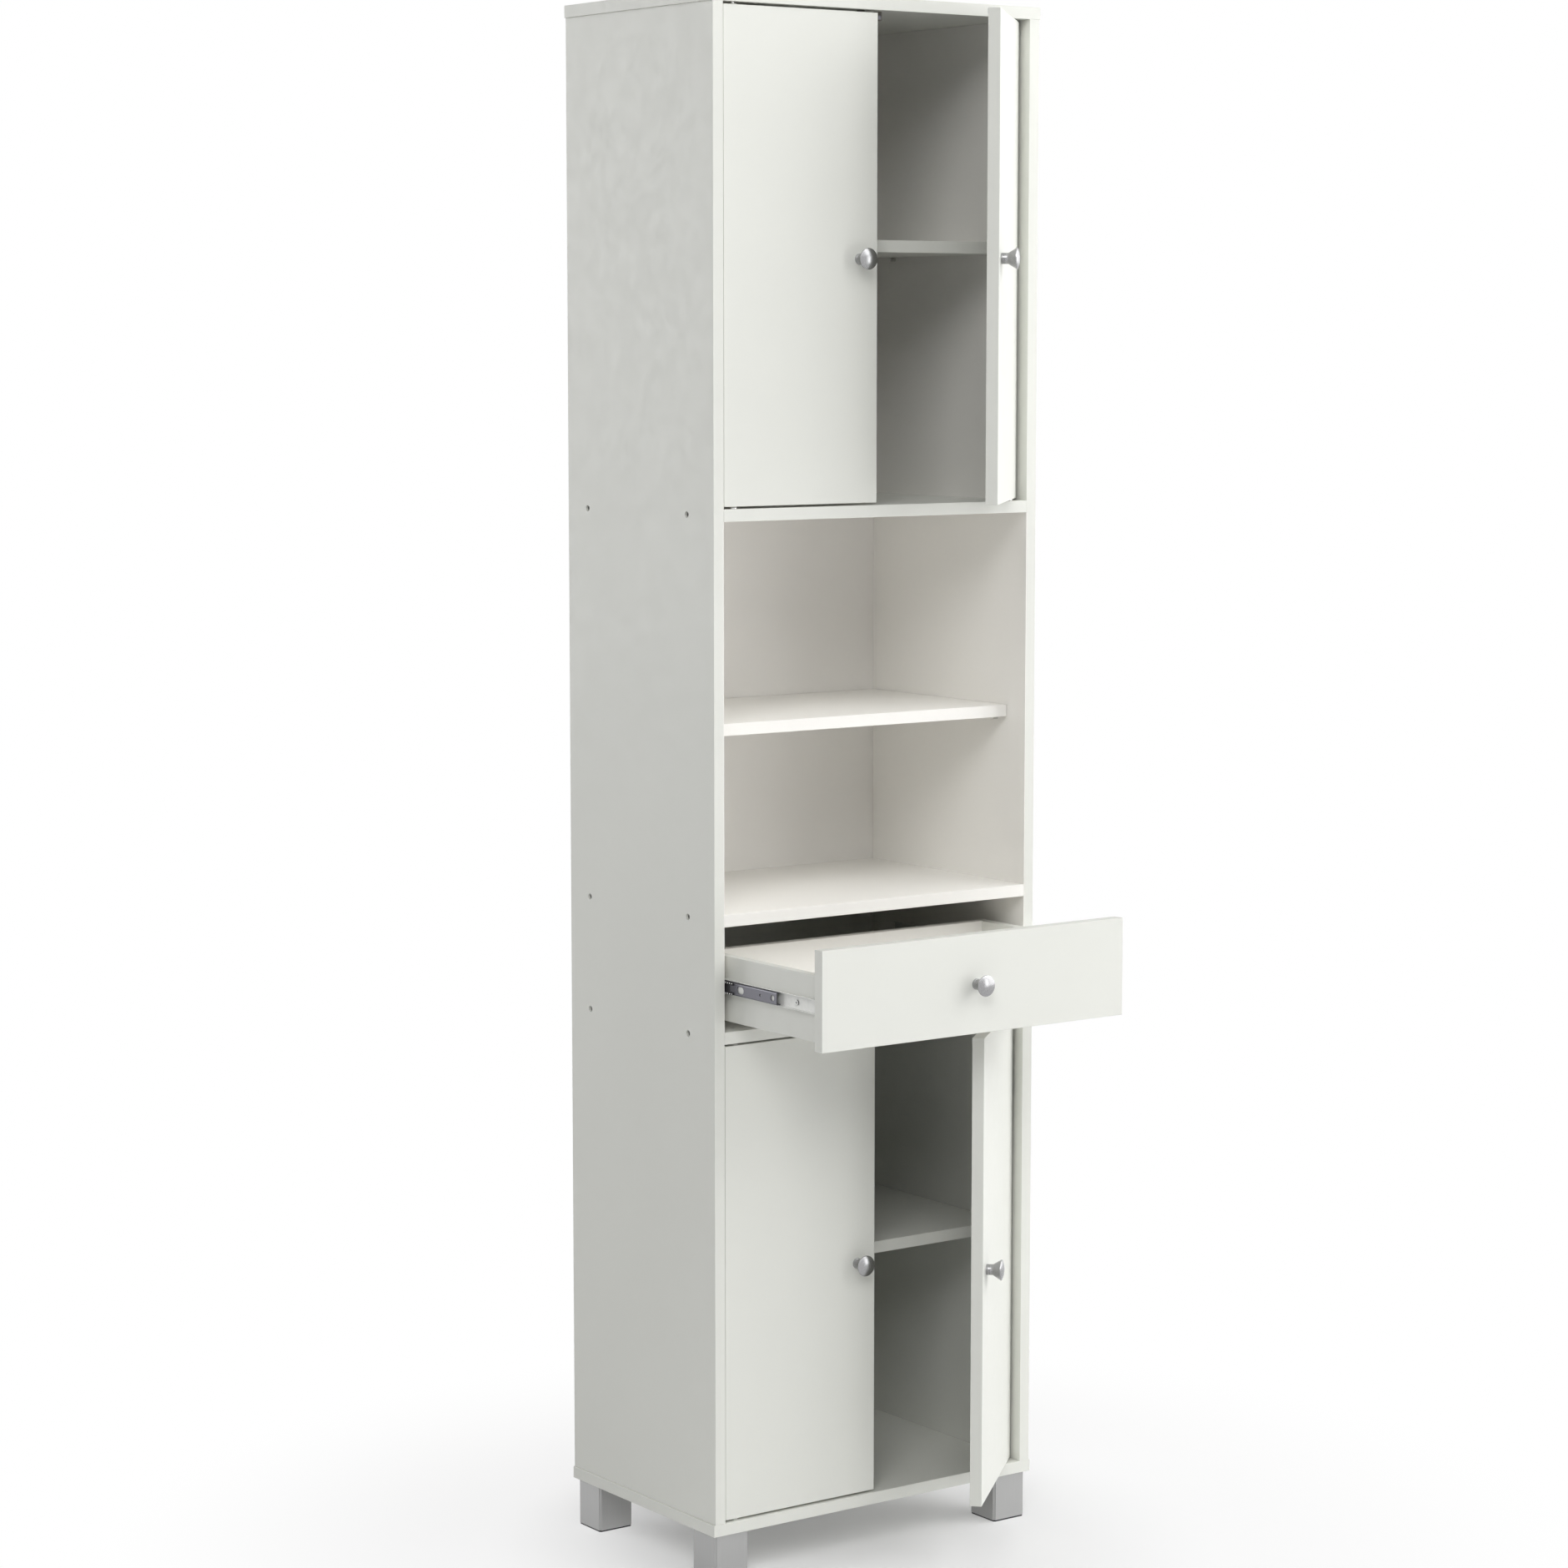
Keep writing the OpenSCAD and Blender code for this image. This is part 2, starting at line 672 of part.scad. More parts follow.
module leg_glides() {
    plug_gap = leg_wall + fit_gap;
    sole_gap = leg_wall / 2;
    color(dark_plastic) in_place() for (s = [left, right], y = leg_ys)
        translate([s * leg_x, y, -leg_h]) union() {
            translate([0, 0, -glide_t])
                post(leg_w - 2 * sole_gap, glide_t, leg_round - sole_gap);
            post(leg_w - 2 * plug_gap, glide_plug_h, leg_round - plug_gap);
        }
}

// ---- Door pivots and catches ----

// The floor's pins carry a collar under the bush's flange
module pivot_pins() {
    color(satin_metal) in_place() {
        at_floor_pivots(cup_floors) union() {
            rod_z([0, 0, -pivot_in], pivot_in + door_gap_bottom + pivot_out, pivot_d);
            rod_z([0, 0, 0], collar_t, flange_d);
        }
        at_ceiling_pivots(cup_floors)
            rod_z([0, 0, -pivot_in], pivot_in + door_gap_top + pivot_out, pivot_d);
    }
}

// Each catch is a plug in the board with a flat towards the door and a magnet behind it
module catch_housings() {
    color(white_plastic) in_place() at_catches(cup_floors) difference() {
        rod_z([0, 0, catch_in], -catch_in - catch_drop, catch_d);
        block([-catch_d, catch_d], [-catch_d, catch_flat - catch_d / 2],
            [-catch_drop - over, 0]);
        rod_y([0, magnet_y - magnet_sink - over, -strike_drop],
            over + magnet_sink + magnet_l + fit_gap, magnet_d + 2 * fit_gap);
    }
}
module catch_magnets() {
    color(zinc) in_place() at_catches(cup_floors)
        rod_y([0, magnet_y, -strike_drop], magnet_l, magnet_d);
}

// ---- Doors ----

// Turns a door about its pivot; s is its side and angle how far it stands open
module swung(s, angle) {
    translate([s * pivot_x, pivot_y, 0]) rotate([0, 0, s * angle])
        translate([-s * pivot_x, -pivot_y, 0]) children();
}

module door_bush_bores(s, floor_z) {
    translate([s * pivot_x, pivot_y, floor_z + door_gap_bottom])
        rod_z([0, 0, -over], over + bush_l + fit_gap, bush_d + 2 * fit_gap);
    translate([s * pivot_x, pivot_y, floor_z + door_gap_bottom + door_h])
        rod_z([0, 0, over], -over - bush_l - fit_gap, bush_d + 2 * fit_gap);
}

module knob_at(s, floor_z) {
    translate([s * knob_x, front_inset, floor_z + door_gap_bottom + door_h / 2])
        facing("-y") children();
}

module strike_at(s, floor_z) {
    translate([s * catch_off, door_back_y, floor_z + cupboard_h - strike_drop]) children();
}

module door(s, floor_z, angle) {
    color(coat) in_place() swung(s, angle) difference() {
        block([s * door_x[0], s * door_x[1]], [front_inset, door_back_y],
            [floor_z + door_gap_bottom, floor_z + door_gap_bottom + door_h]);
        door_bush_bores(s, floor_z);
        knob_at(s, floor_z) rod_z([0, 0, over], -door_t - 2 * over,
            knob_screw_d + 2 * fit_gap);
        strike_at(s, floor_z) rod_y([0, over, 0], -over - strike_pin_l - fit_gap,
            strike_pin_d + 2 * fit_gap);
    }
}

module bush() {
    difference() {
        union() {
            rod_z([0, 0, 0], bush_l, bush_d);
            rod_z([0, 0, 0], -flange_t, flange_d);
        }
        rod_z([0, 0, -flange_t - over], flange_t + bush_l + 2 * over, pivot_d + 2 * fit_gap);
    }
}
module bushes(s, floor_z, angle) {
    color(white_plastic) in_place() swung(s, angle) {
        translate([s * pivot_x, pivot_y, floor_z + door_gap_bottom]) bush();
        translate([s * pivot_x, pivot_y, floor_z + door_gap_bottom + door_h])
            facing("-z") bush();
    }
}

// A knob stands up +Z from the face that it is screwed to
module knob() {
    head_r = knob_head_d / 2;
    flare_top = knob_stem_l + knob_flare_l;
    rim_top = flare_top + knob_rim_t;
    dome_r = (head_r * head_r + knob_dome * knob_dome) / (2 * knob_dome);
    difference() {
        union() {
            rod_z([0, 0, 0], knob_stem_l, knob_stem_d);
            translate([0, 0, knob_stem_l])
                cylinder(h = knob_flare_l, d1 = knob_stem_d, d2 = knob_head_d);
            rod_z([0, 0, flare_top], knob_rim_t, knob_head_d);
            intersection() {
                translate([0, 0, rim_top + knob_dome - dome_r]) sphere(r = dome_r);
                rod_z([0, 0, rim_top], knob_dome + over, knob_head_d);
            }
        }
        rod_z([0, 0, -over], over + knob_screw_in + fit_gap, knob_screw_d + 2 * fit_gap);
    }
}

// A knob's screw, from behind a board of thickness t into the knob above 0
module knob_screw(t) {
    translate([0, 0, -t]) difference() {
        union() {
            rod_z([0, 0, -knob_screw_head_t], knob_screw_head_t, knob_screw_head_d);
            rod_z([0, 0, -knob_screw_head_t / 2], knob_screw_head_t / 2 + t + knob_screw_in,
                knob_screw_d);
        }
        cross_recess(-knob_screw_head_t, knob_screw_head_d);
    }
}

module door_knob(s, floor_z, angle) {
    color(satin_metal) in_place() swung(s, angle) knob_at(s, floor_z) knob();
}
module door_knob_screw(s, floor_z, angle) {
    color(zinc) in_place() swung(s, angle) knob_at(s, floor_z) knob_screw(door_t);
}

// The steel plate that the catch holds, with its spigot in the door
module strike(s, floor_z, angle) {
    color(zinc) in_place() swung(s, angle) strike_at(s, floor_z) union() {
        block([-strike_w / 2, strike_w / 2], [0, strike_t], [-strike_h / 2, strike_h / 2]);
        rod_y([0, strike_t / 2, 0], -strike_t / 2 - strike_pin_l, strike_pin_d);
    }
}

module upper_left_door() door(left, cup_up, 0);
module upper_left_bushes() bushes(left, cup_up, 0);
module upper_left_knob() door_knob(left, cup_up, 0);
module upper_left_knob_screw() door_knob_screw(left, cup_up, 0);
module upper_left_strike() strike(left, cup_up, 0);

module upper_right_door() door(right, cup_up, upper_right_angle);
module upper_right_bushes() bushes(right, cup_up, upper_right_angle);
module upper_right_knob() door_knob(right, cup_up, upper_right_angle);
module upper_right_knob_screw() door_knob_screw(right, cup_up, upper_right_angle);
module upper_right_strike() strike(right, cup_up, upper_right_angle);

module lower_left_door() door(left, cup_low, 0);
module lower_left_bushes() bushes(left, cup_low, 0);
module lower_left_knob() door_knob(left, cup_low, 0);
module lower_left_knob_screw() door_knob_screw(left, cup_low, 0);
module lower_left_strike() strike(left, cup_low, 0);

module lower_right_door() door(right, cup_low, lower_right_angle);
module lower_right_bushes() bushes(right, cup_low, lower_right_angle);
module lower_right_knob() door_knob(right, cup_low, lower_right_angle);
module lower_right_knob_screw() door_knob_screw(right, cup_low, lower_right_angle);
module lower_right_strike() strike(right, cup_low, lower_right_angle);

// ---- Drawer slides ----

// Holes for the screws of a slide member that starts at y
module slide_screw_holes(s, y) {
    for (step = slide_screw_ys) rod_x([s * (half_in + over), y + step, slide_z],
        -s * (slide_w + 2 * over), wood_screw_d + 2 * fit_gap);
}

// A channel with its web at web_x and its lips running inwards or outwards
module channel(web_x, lip_x, h, y, l) {
    difference() {
        block([web_x[0], lip_x], [y, y + l], [slide_z - h / 2, slide_z + h / 2]);
        block([web_x[1], lip_x + sign(lip_x - web_x[1]) * over], [y - over, y + l + over],
            [slide_z - h / 2 + slide_steel, slide_z + h / 2 - slide_steel]);
    }
}

module slide_cabinet(s) {
    web = s * half_in;
    color(zinc) in_place() difference() {
        channel([web, web - s * slide_steel], web - s * (slide_steel + slide_lip), slide_h,
            slide_y, slide_l);
        slide_screw_holes(s, slide_y);
    }
}
module slide_cabinet_left() slide_cabinet(left);
module slide_cabinet_right() slide_cabinet(right);

module slide_drawer(s) {
    web = s * drawer_side_out;
    color(zinc) in_place() difference() {
        channel([web, web + s * slide_steel], web + s * (slide_steel + slide_lip), slide_h,
            drawer_y, slide_l);
        slide_screw_holes(s, drawer_y);
    }
}
module slide_drawer_left() slide_drawer(left);
module slide_drawer_right() slide_drawer(right);

// An oval opening through the middle member
module slot(s, y) {
    reach = (slot_l - slot_h) / 2;
    for (shift = [-reach, reach]) rod_x([s * (half_in + over), y + shift, slide_z],
        -s * (slide_w + 2 * over), slot_h);
    block([s * (half_in + over), s * (drawer_side_out - over)], [y - reach, y + reach],
        [slide_z - slot_h / 2, slide_z + slot_h / 2]);
}

// A round hole through the middle member
module middle_hole(s, y, d) {
    rod_x([s * (half_in + over), y, slide_z], -s * (slide_w + 2 * over), d);
}

// The middle member runs between the lips of the other two
module slide_middle(s) {
    web = s * (half_in - slide_steel - middle_standoff);
    lip_end = s * (drawer_side_out + slide_steel + slide_gap);
    color(dark_steel) in_place() difference() {
        channel([web, web - s * slide_steel], lip_end, middle_h, middle_y, middle_l);
        for (y = [slot_end, middle_l - slot_end]) slot(s, middle_y + y);
        for (y = [large_hole_end, middle_l - large_hole_end])
            middle_hole(s, middle_y + y, large_hole_d);
        for (y = [small_hole_end, middle_l - small_hole_end])
            middle_hole(s, middle_y + y, small_hole_d);
    }
}
module slide_middle_left() slide_middle(left);
module slide_middle_right() slide_middle(right);

// ---- Drawer ----

// Dowels of the drawer: sides into the front, back into the sides
module at_drawer_dowels() {
    for (z = drawer_dowel_zs) for (s = [left, right]) {
        translate([s * (drawer_side_out - drawer_board_t / 2), drawer_y, z])
            facing("+y") children();
        translate([s * drawer_side_in, drawer_y + drawer_l - drawer_board_t / 2, z])
            facing(s < 0 ? "+x" : "-x") children();
    }
}
module drawer_dowel_bores() {
    at_drawer_dowels() dowel_bore(drawer_dowel_d, drawer_dowel_face, drawer_dowel_end);
}

// The bottom's outline, and with gaps the groove round it
module drawer_bottom_shape(edge_gap, face_gap) {
    reach = groove_depth - groove_play + edge_gap;
    x = drawer_side_in + reach;
    z = drawer_z + drawer_bottom_rise;
    block([-x, x], [drawer_y - reach, drawer_y + drawer_l - drawer_board_t + reach],
        [z - face_gap, z + drawer_bottom_t + face_gap]);
}
module drawer_groove() drawer_bottom_shape(groove_play, fit_gap);

module drawer_front() {
    color(coat) in_place() difference() {
        block([-front_x, front_x], [drawer_face_y, drawer_y], front_z);
        drawer_dowel_bores();
        drawer_groove();
        translate([0, drawer_face_y, drawer_knob_z]) rod_y([0, -over, 0], front_t + 2 * over,
            knob_screw_d + 2 * fit_gap);
    }
}

module drawer_side(s) {
    color(coat) in_place() difference() {
        block([s * drawer_side_in, s * drawer_side_out], [drawer_y, drawer_y + drawer_l],
            [drawer_z, drawer_z + drawer_h]);
        drawer_dowel_bores();
        drawer_groove();
        at_drawer_slide_screws() wood_screw_bore();
    }
}
module drawer_side_left() drawer_side(left);
module drawer_side_right() drawer_side(right);

module drawer_back() {
    y = drawer_y + drawer_l;
    color(coat) in_place() difference() {
        block([-drawer_side_in, drawer_side_in], [y - drawer_board_t, y],
            [drawer_z, drawer_z + drawer_h]);
        drawer_dowel_bores();
        drawer_groove();
    }
}

module drawer_bottom() color(hardboard) in_place() drawer_bottom_shape(0, 0);

module drawer_dowels() {
    color(beech) in_place() at_drawer_dowels()
        dowel(drawer_dowel_d, drawer_dowel_face, drawer_dowel_end);
}

module drawer_screws() {
    color(zinc) in_place() at_drawer_slide_screws() translate([0, 0, -slide_steel])
        wood_screw(slide_steel);
}

module drawer_knob() {
    color(satin_metal) in_place() translate([0, drawer_face_y, drawer_knob_z])
        facing("-y") knob();
}
module drawer_knob_screw() {
    color(zinc) in_place() translate([0, drawer_face_y, drawer_knob_z])
        facing("-y") knob_screw(front_t);
}

side_panel_left();
side_panel_right();
top_panel();
bottom_panel();
back_panel_upper();
back_panel_lower();
fixed_shelf_upper();
fixed_shelf_middle();
fixed_shelf_lower();
upper_shelf();
niche_shelf();
lower_shelf();
shelf_pins();
panel_screws();
panel_dowels();
wood_screws();
back_nails();
leg_front_left();
leg_front_right();
leg_back_left();
leg_back_right();
leg_glides();
pivot_pins();
catch_housings();
catch_magnets();
slide_cabinet_left();
slide_cabinet_right();
slide_middle_left();
slide_middle_right();
slide_drawer_left();
slide_drawer_right();
drawer_front();
drawer_side_left();
drawer_side_right();
drawer_back();
drawer_bottom();
drawer_dowels();
drawer_screws();
drawer_knob();
drawer_knob_screw();
upper_left_door();
upper_left_bushes();
upper_left_knob();
upper_left_knob_screw();
upper_left_strike();
upper_right_door();
upper_right_bushes();
upper_right_knob();
upper_right_knob_screw();
upper_right_strike();
lower_left_door();
lower_left_bushes();
lower_left_knob();
lower_left_knob_screw();
lower_left_strike();
lower_right_door();
lower_right_bushes();
lower_right_knob();
lower_right_knob_screw();
lower_right_strike();
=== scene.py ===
import json
import math

import bmesh
import bpy
from mathutils import Matrix, Vector

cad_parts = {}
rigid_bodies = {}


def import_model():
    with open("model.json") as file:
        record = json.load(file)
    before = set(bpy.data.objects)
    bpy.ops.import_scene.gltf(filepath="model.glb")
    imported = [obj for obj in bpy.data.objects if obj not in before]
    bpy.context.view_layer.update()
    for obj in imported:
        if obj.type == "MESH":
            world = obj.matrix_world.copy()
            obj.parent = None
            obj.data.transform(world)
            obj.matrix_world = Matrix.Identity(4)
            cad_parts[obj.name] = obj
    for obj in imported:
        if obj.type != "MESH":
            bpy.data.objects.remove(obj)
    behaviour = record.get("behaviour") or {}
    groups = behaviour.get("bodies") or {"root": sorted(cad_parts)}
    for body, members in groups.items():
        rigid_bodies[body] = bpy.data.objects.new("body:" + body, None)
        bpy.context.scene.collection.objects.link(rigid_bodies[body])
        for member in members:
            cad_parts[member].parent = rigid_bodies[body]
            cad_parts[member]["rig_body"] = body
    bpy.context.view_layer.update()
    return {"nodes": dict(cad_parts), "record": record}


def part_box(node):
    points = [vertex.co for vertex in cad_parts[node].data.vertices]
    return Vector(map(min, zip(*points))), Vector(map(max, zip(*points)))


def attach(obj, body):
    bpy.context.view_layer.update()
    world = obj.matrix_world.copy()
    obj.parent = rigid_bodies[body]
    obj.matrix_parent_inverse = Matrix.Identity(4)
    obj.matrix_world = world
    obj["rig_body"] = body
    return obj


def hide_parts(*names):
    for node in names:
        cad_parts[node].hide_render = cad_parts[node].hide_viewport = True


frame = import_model()

MM = 0.001
NODES = frame["nodes"]
SLOTS = {row["node"]: row["material_slot"] for row in frame["record"]["subparts"]}
SIDES = {"left": -1, "right": 1}

# The photograph's camera: its place in metres, its lens and sensor in millimetres
CAMERA_SPOT = (-2.91154, -3.89351, 1.51980)
CAMERA_YAW = math.radians(-35.558)
CAMERA_TILT = math.radians(-6.693)
CAMERA_ROLL = math.radians(-0.022)
CAMERA_LENS = 89.85
CAMERA_SENSOR = 36.0
CAMERA_SHIFT = (0.00908, 0.01180)
CAMERA_REACH = 100.0

# Colours in linear light
WHITE_COAT = (0.775, 0.782, 0.735)
# Painted light: a brighter, warmer white for the light in the niche, the drawer bay and behind the
# upper doors
PAINTED_LIGHT_COAT = (0.947, 0.932, 0.893)
# Painted light: a brighter, warmer primer behind the upper cupboard and the niche and on the
# drawer's bottom
PAINTED_LIGHT_PRIMER = (0.932, 0.914, 0.880)
# The plain primer, without painted light
PLAIN_PRIMER = (0.770, 0.775, 0.725)
RAW_HARDBOARD = (0.235, 0.130, 0.068)

# The side panels' inner faces get painted light, the brighter warmer white, from the drawer
# bay upwards: the whole face up to the niche's ceiling, and above that only what lies behind
# the doors, which is from a little before the front of the loose shelf
SLACK = 1 * MM
BEFORE_SHELF = 4 * MM
INNER_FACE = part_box("side_panel_right")[0].x
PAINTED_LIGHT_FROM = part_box("fixed_shelf_lower")[1].z
NICHE_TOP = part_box("fixed_shelf_upper")[0].z
DOOR_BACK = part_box("upper_shelf")[0].y - BEFORE_SHELF
# Boards painted all over with the brighter warmer white, as painted light
PAINTED_LIGHT_BOARDS = ("fixed_shelf_middle", "niche_shelf", "drawer_back")

# The outermost faces of the drawer's screws, and how far under them painted shade, near black,
# starts
SCREW_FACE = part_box("drawer_screws")[1].x
PAINTED_SHADE_DEPTH = 0.30 * MM

# A face looks a way if its normal's share that way is more than this
FACING = 0.5

# The range that most of a noise lies in
NOISE_LOW, NOISE_HIGH = 0.3, 0.7

# Waves of the pressing screen's mark in hardboard, in radians per metre: one each 2.2 mm
SCREEN_WAVES = 2800.0

# Points nearer than this are one point
SAME_SPOT = 0.01 * MM

# Faces that meet at less than this are shaded as one surface
SMOOTH_BELOW = math.radians(35.0)
KNOB_SMOOTH_BELOW = math.radians(30.0)


# ---------------------------------------------------------------- node helpers


class Shader:
    """A material's node tree, with short ways to add and join nodes."""

    SOCKETS = {
        "color": "Base Color",
        "metallic": "Metallic",
        "roughness": "Roughness",
        "specular": "Specular IOR Level",
    }

    def __init__(self, name):
        self.material = bpy.data.materials.new(name)
        self.material.use_nodes = True
        self.tree = self.material.node_tree
        self.nodes = self.tree.nodes
        self.bsdf = self.nodes["Principled BSDF"]
        place = self.add("ShaderNodeTexCoord")
        self.spot = place.outputs["Object"]
        self.facing = place.outputs["Normal"]

    def add(self, kind, **settings):
        node = self.nodes.new(kind)
        for name, value in settings.items():
            setattr(node, name, value)
        return node

    def join(self, out, into):
        self.tree.links.new(out, into)

    def feed(self, socket, value):
        """Links a socket to another one, or sets it to a number, a vector or a colour."""
        if isinstance(value, bpy.types.NodeSocket):
            self.join(value, socket)
        elif socket.type == "RGBA":
            socket.default_value = (*value, 1.0)
        else:
            socket.default_value = value

    def set(self, **values):
        for key, value in values.items():
            self.feed(self.bsdf.inputs[self.SOCKETS[key]], value)

    def stretched(self, scale):
        mapping = self.add("ShaderNodeMapping")
        mapping.inputs["Scale"].default_value = scale
        self.join(self.spot, mapping.inputs["Vector"])
        return mapping.outputs["Vector"]

    def noise(self, scale, detail=2.0, rough=0.5, vector=None):
        node = self.add("ShaderNodeTexNoise")
        self.join(vector or self.spot, node.inputs["Vector"])
        node.inputs["Scale"].default_value = scale
        node.inputs["Detail"].default_value = detail
        node.inputs["Roughness"].default_value = rough
        return node.outputs["Fac"]

    def cells(self, scale):
        node = self.add("ShaderNodeTexVoronoi")
        self.join(self.spot, node.inputs["Vector"])
        node.inputs["Scale"].default_value = scale
        return node.outputs["Distance"]

    def span(self, value, low, high, to_low, to_high):
        node = self.add("ShaderNodeMapRange")
        self.join(value, node.inputs["Value"])
        node.inputs["From Min"].default_value = low
        node.inputs["From Max"].default_value = high
        node.inputs["To Min"].default_value = to_low
        node.inputs["To Max"].default_value = to_high
        return node.outputs["Result"]

    def spread(self, noise, to_low, to_high):
        return self.span(noise, NOISE_LOW, NOISE_HIGH, to_low, to_high)

    def smooth_span(self, value, low, high, to_low, to_high):
        result = self.span(value, low, high, to_low, to_high)
        result.node.interpolation_type = "SMOOTHSTEP"
        return result

    def math(self, operation, a, b=0.0):
        node = self.add("ShaderNodeMath", operation=operation)
        self.feed(node.inputs[0], a)
        self.feed(node.inputs[1], b)
        return node.outputs[0]

    def mix(self, factor, a, b):
        node = self.add("ShaderNodeMix", data_type="RGBA")
        for index, value in ((0, factor), (6, a), (7, b)):
            self.feed(node.inputs[index], value)
        return node.outputs[2]

    def tinted(self, color, amount):
        node = self.add("ShaderNodeVectorMath", operation="SCALE")
        self.feed(node.inputs[0], color)
        self.join(amount, node.inputs["Scale"])
        return node.outputs[0]

    def axis(self, index, source=None):
        node = self.add("ShaderNodeSeparateXYZ")
        self.join(source or self.spot, node.inputs[0])
        return node.outputs[index]

    def bump(self, height, distance, strength):
        """Adds a layer of relief on top of those that are there."""
        node = self.add("ShaderNodeBump")
        self.join(height, node.inputs["Height"])
        node.inputs["Distance"].default_value = distance
        node.inputs["Strength"].default_value = strength
        before = self.bsdf.inputs["Normal"]
        if before.is_linked:
            self.join(before.links[0].from_socket, node.inputs["Normal"])
        self.join(node.outputs["Normal"], before)


def tone(color, amount):
    return tuple(min(1.0, part * amount) for part in color)


# ---------------------------------------------------------------- materials


def coated_board(name, coat_of):
    """Coated chipboard: white melamine with a fine pearl, faint mottling and soft sheen."""
    s = Shader(name)
    mottle = s.spread(s.noise(7.0, detail=3.0), 0.992, 1.006)
    specks = s.span(s.noise(900.0, detail=1.0), 0.62, 0.78, 0.0, 0.10)
    color = s.tinted(coat_of(s), mottle)
    s.set(color=s.mix(specks, color, tone(WHITE_COAT, 0.93)), specular=0.42)
    s.set(roughness=s.spread(s.noise(55.0, detail=4.0), 0.40, 0.50))
    s.bump(s.noise(520.0), distance=0.03 * MM, strength=0.5)
    s.bump(s.noise(26.0), distance=0.05 * MM, strength=0.35)
    return s.material


def white_board():
    """Every board but those below: one white all over."""
    return coated_board("white_board", lambda s: WHITE_COAT)


def painted_light_white_board():
    """The niche's shelf and floor and the drawer's back: painted light, a brighter, warmer white
    all over.
    """
    return coated_board("painted_light_white_board", lambda s: PAINTED_LIGHT_COAT)


def ceiling_painted_light_board():
    """The board over the niche: painted light below, the brighter warmer white; plain white above
    and on its edge band.
    """
    def coat(s):
        # Painted light on the faces that look down into the niche
        below = s.math("LESS_THAN", s.axis(2, s.facing), -FACING)
        return s.mix(below, WHITE_COAT, PAINTED_LIGHT_COAT)

    return coated_board("ceiling_painted_light_board", coat)


def side_painted_light_board():
    """Side panels: plain white, and painted light, the brighter warmer white, on the inner faces
    where the niche, the drawer and the upper doors are.
    """
    def coat(s):
        inside = s.math("LESS_THAN", s.math("ABSOLUTE", s.axis(0)), INNER_FACE + SLACK)
        above = s.math("GREATER_THAN", s.axis(2), PAINTED_LIGHT_FROM)
        open_front = s.math("LESS_THAN", s.axis(2), NICHE_TOP)
        behind_doors = s.math("GREATER_THAN", s.axis(1), DOOR_BACK)
        reached = s.math("MAXIMUM", open_front, behind_doors)
        # Painted light on the inner faces in the niche, the drawer bay and behind the upper doors
        painted_light_mask = s.math("MULTIPLY", s.math("MULTIPLY", inside, above), reached)
        return s.mix(painted_light_mask, WHITE_COAT, PAINTED_LIGHT_COAT)

    return coated_board("side_painted_light_board", coat)


def primed(s, blotches, primer):
    return s.mix(blotches, tone(primer, 0.99), tone(primer, 1.01))


def hardboard(name, primer):
    """Back panels: primed towards the front, bare screen-marked hardboard behind."""
    s = Shader(name)
    behind = s.math("GREATER_THAN", s.axis(1, s.facing), FACING)
    edges = s.math("LESS_THAN", s.math("ABSOLUTE", s.axis(1, s.facing)), FACING)
    bare = s.math("MAXIMUM", behind, edges)
    fibres = s.spread(s.noise(420.0, detail=6.0, rough=0.7), 0.0, 1.0)
    blotches = s.spread(s.noise(9.0, detail=3.0), 0.0, 1.0)
    brown = s.mix(fibres, tone(RAW_HARDBOARD, 0.75), tone(RAW_HARDBOARD, 1.30))
    brown = s.mix(s.math("MULTIPLY", blotches, 0.35), brown, tone(RAW_HARDBOARD, 1.45))
    s.set(color=s.mix(bare, primed(s, blotches, primer), brown), specular=0.35)
    s.set(roughness=s.span(bare, 0.0, 1.0, 0.46, 0.82))
    mesh_x = s.math("SINE", s.math("MULTIPLY", s.axis(0), SCREEN_WAVES))
    mesh_z = s.math("SINE", s.math("MULTIPLY", s.axis(2), SCREEN_WAVES))
    screen = s.math("MULTIPLY", s.math("MULTIPLY", mesh_x, mesh_z), behind)
    s.bump(screen, distance=0.10 * MM, strength=0.5)
    s.bump(s.noise(300.0, detail=3.0), distance=0.03 * MM, strength=0.4)
    return s.material


def upper_painted_light_hardboard():
    """Behind the upper cupboard and the niche: painted light, the brighter warmer primer."""
    return hardboard("upper_painted_light_hardboard", PAINTED_LIGHT_PRIMER)


def lower_hardboard():
    """Behind the drawer and the lower cupboard: the plain primer, without painted light."""
    return hardboard("lower_hardboard", PLAIN_PRIMER)


def drawer_painted_light_hardboard():
    """The drawer's bottom: hardboard with painted light, the brighter warmer primer, on both faces.
    """
    s = Shader("drawer_painted_light_hardboard")
    blotches = s.spread(s.noise(9.0, detail=3.0), 0.0, 1.0)
    fibres = s.noise(420.0, detail=5.0, rough=0.7)
    s.set(color=primed(s, blotches, PAINTED_LIGHT_PRIMER), specular=0.35)
    s.set(roughness=s.spread(fibres, 0.44, 0.56))
    s.bump(fibres, distance=0.03 * MM, strength=0.5)
    return s.material


def brushed_metal(name, color, rough, brush, depth=0.010 * MM, clouds=0.3, metallic=1.0):
    """Metal with fine streaks, in colour, gloss and relief, longest where brush is smallest."""
    s = Shader(name)
    streaks = s.noise(1.0, detail=3.0, rough=0.6, vector=s.stretched(brush))
    cloud = s.spread(s.noise(24.0, detail=3.0), 0.0, clouds)
    grain = s.spread(streaks, 0.0, 1.0)
    shade = s.mix(grain, tone(color, 0.96), tone(color, 1.03))
    s.set(color=s.mix(cloud, shade, tone(color, 0.94)), metallic=metallic)
    s.set(roughness=s.span(grain, 0.0, 1.0, rough - 0.03, rough + 0.04))
    s.bump(streaks, distance=depth, strength=0.5)
    return s.material


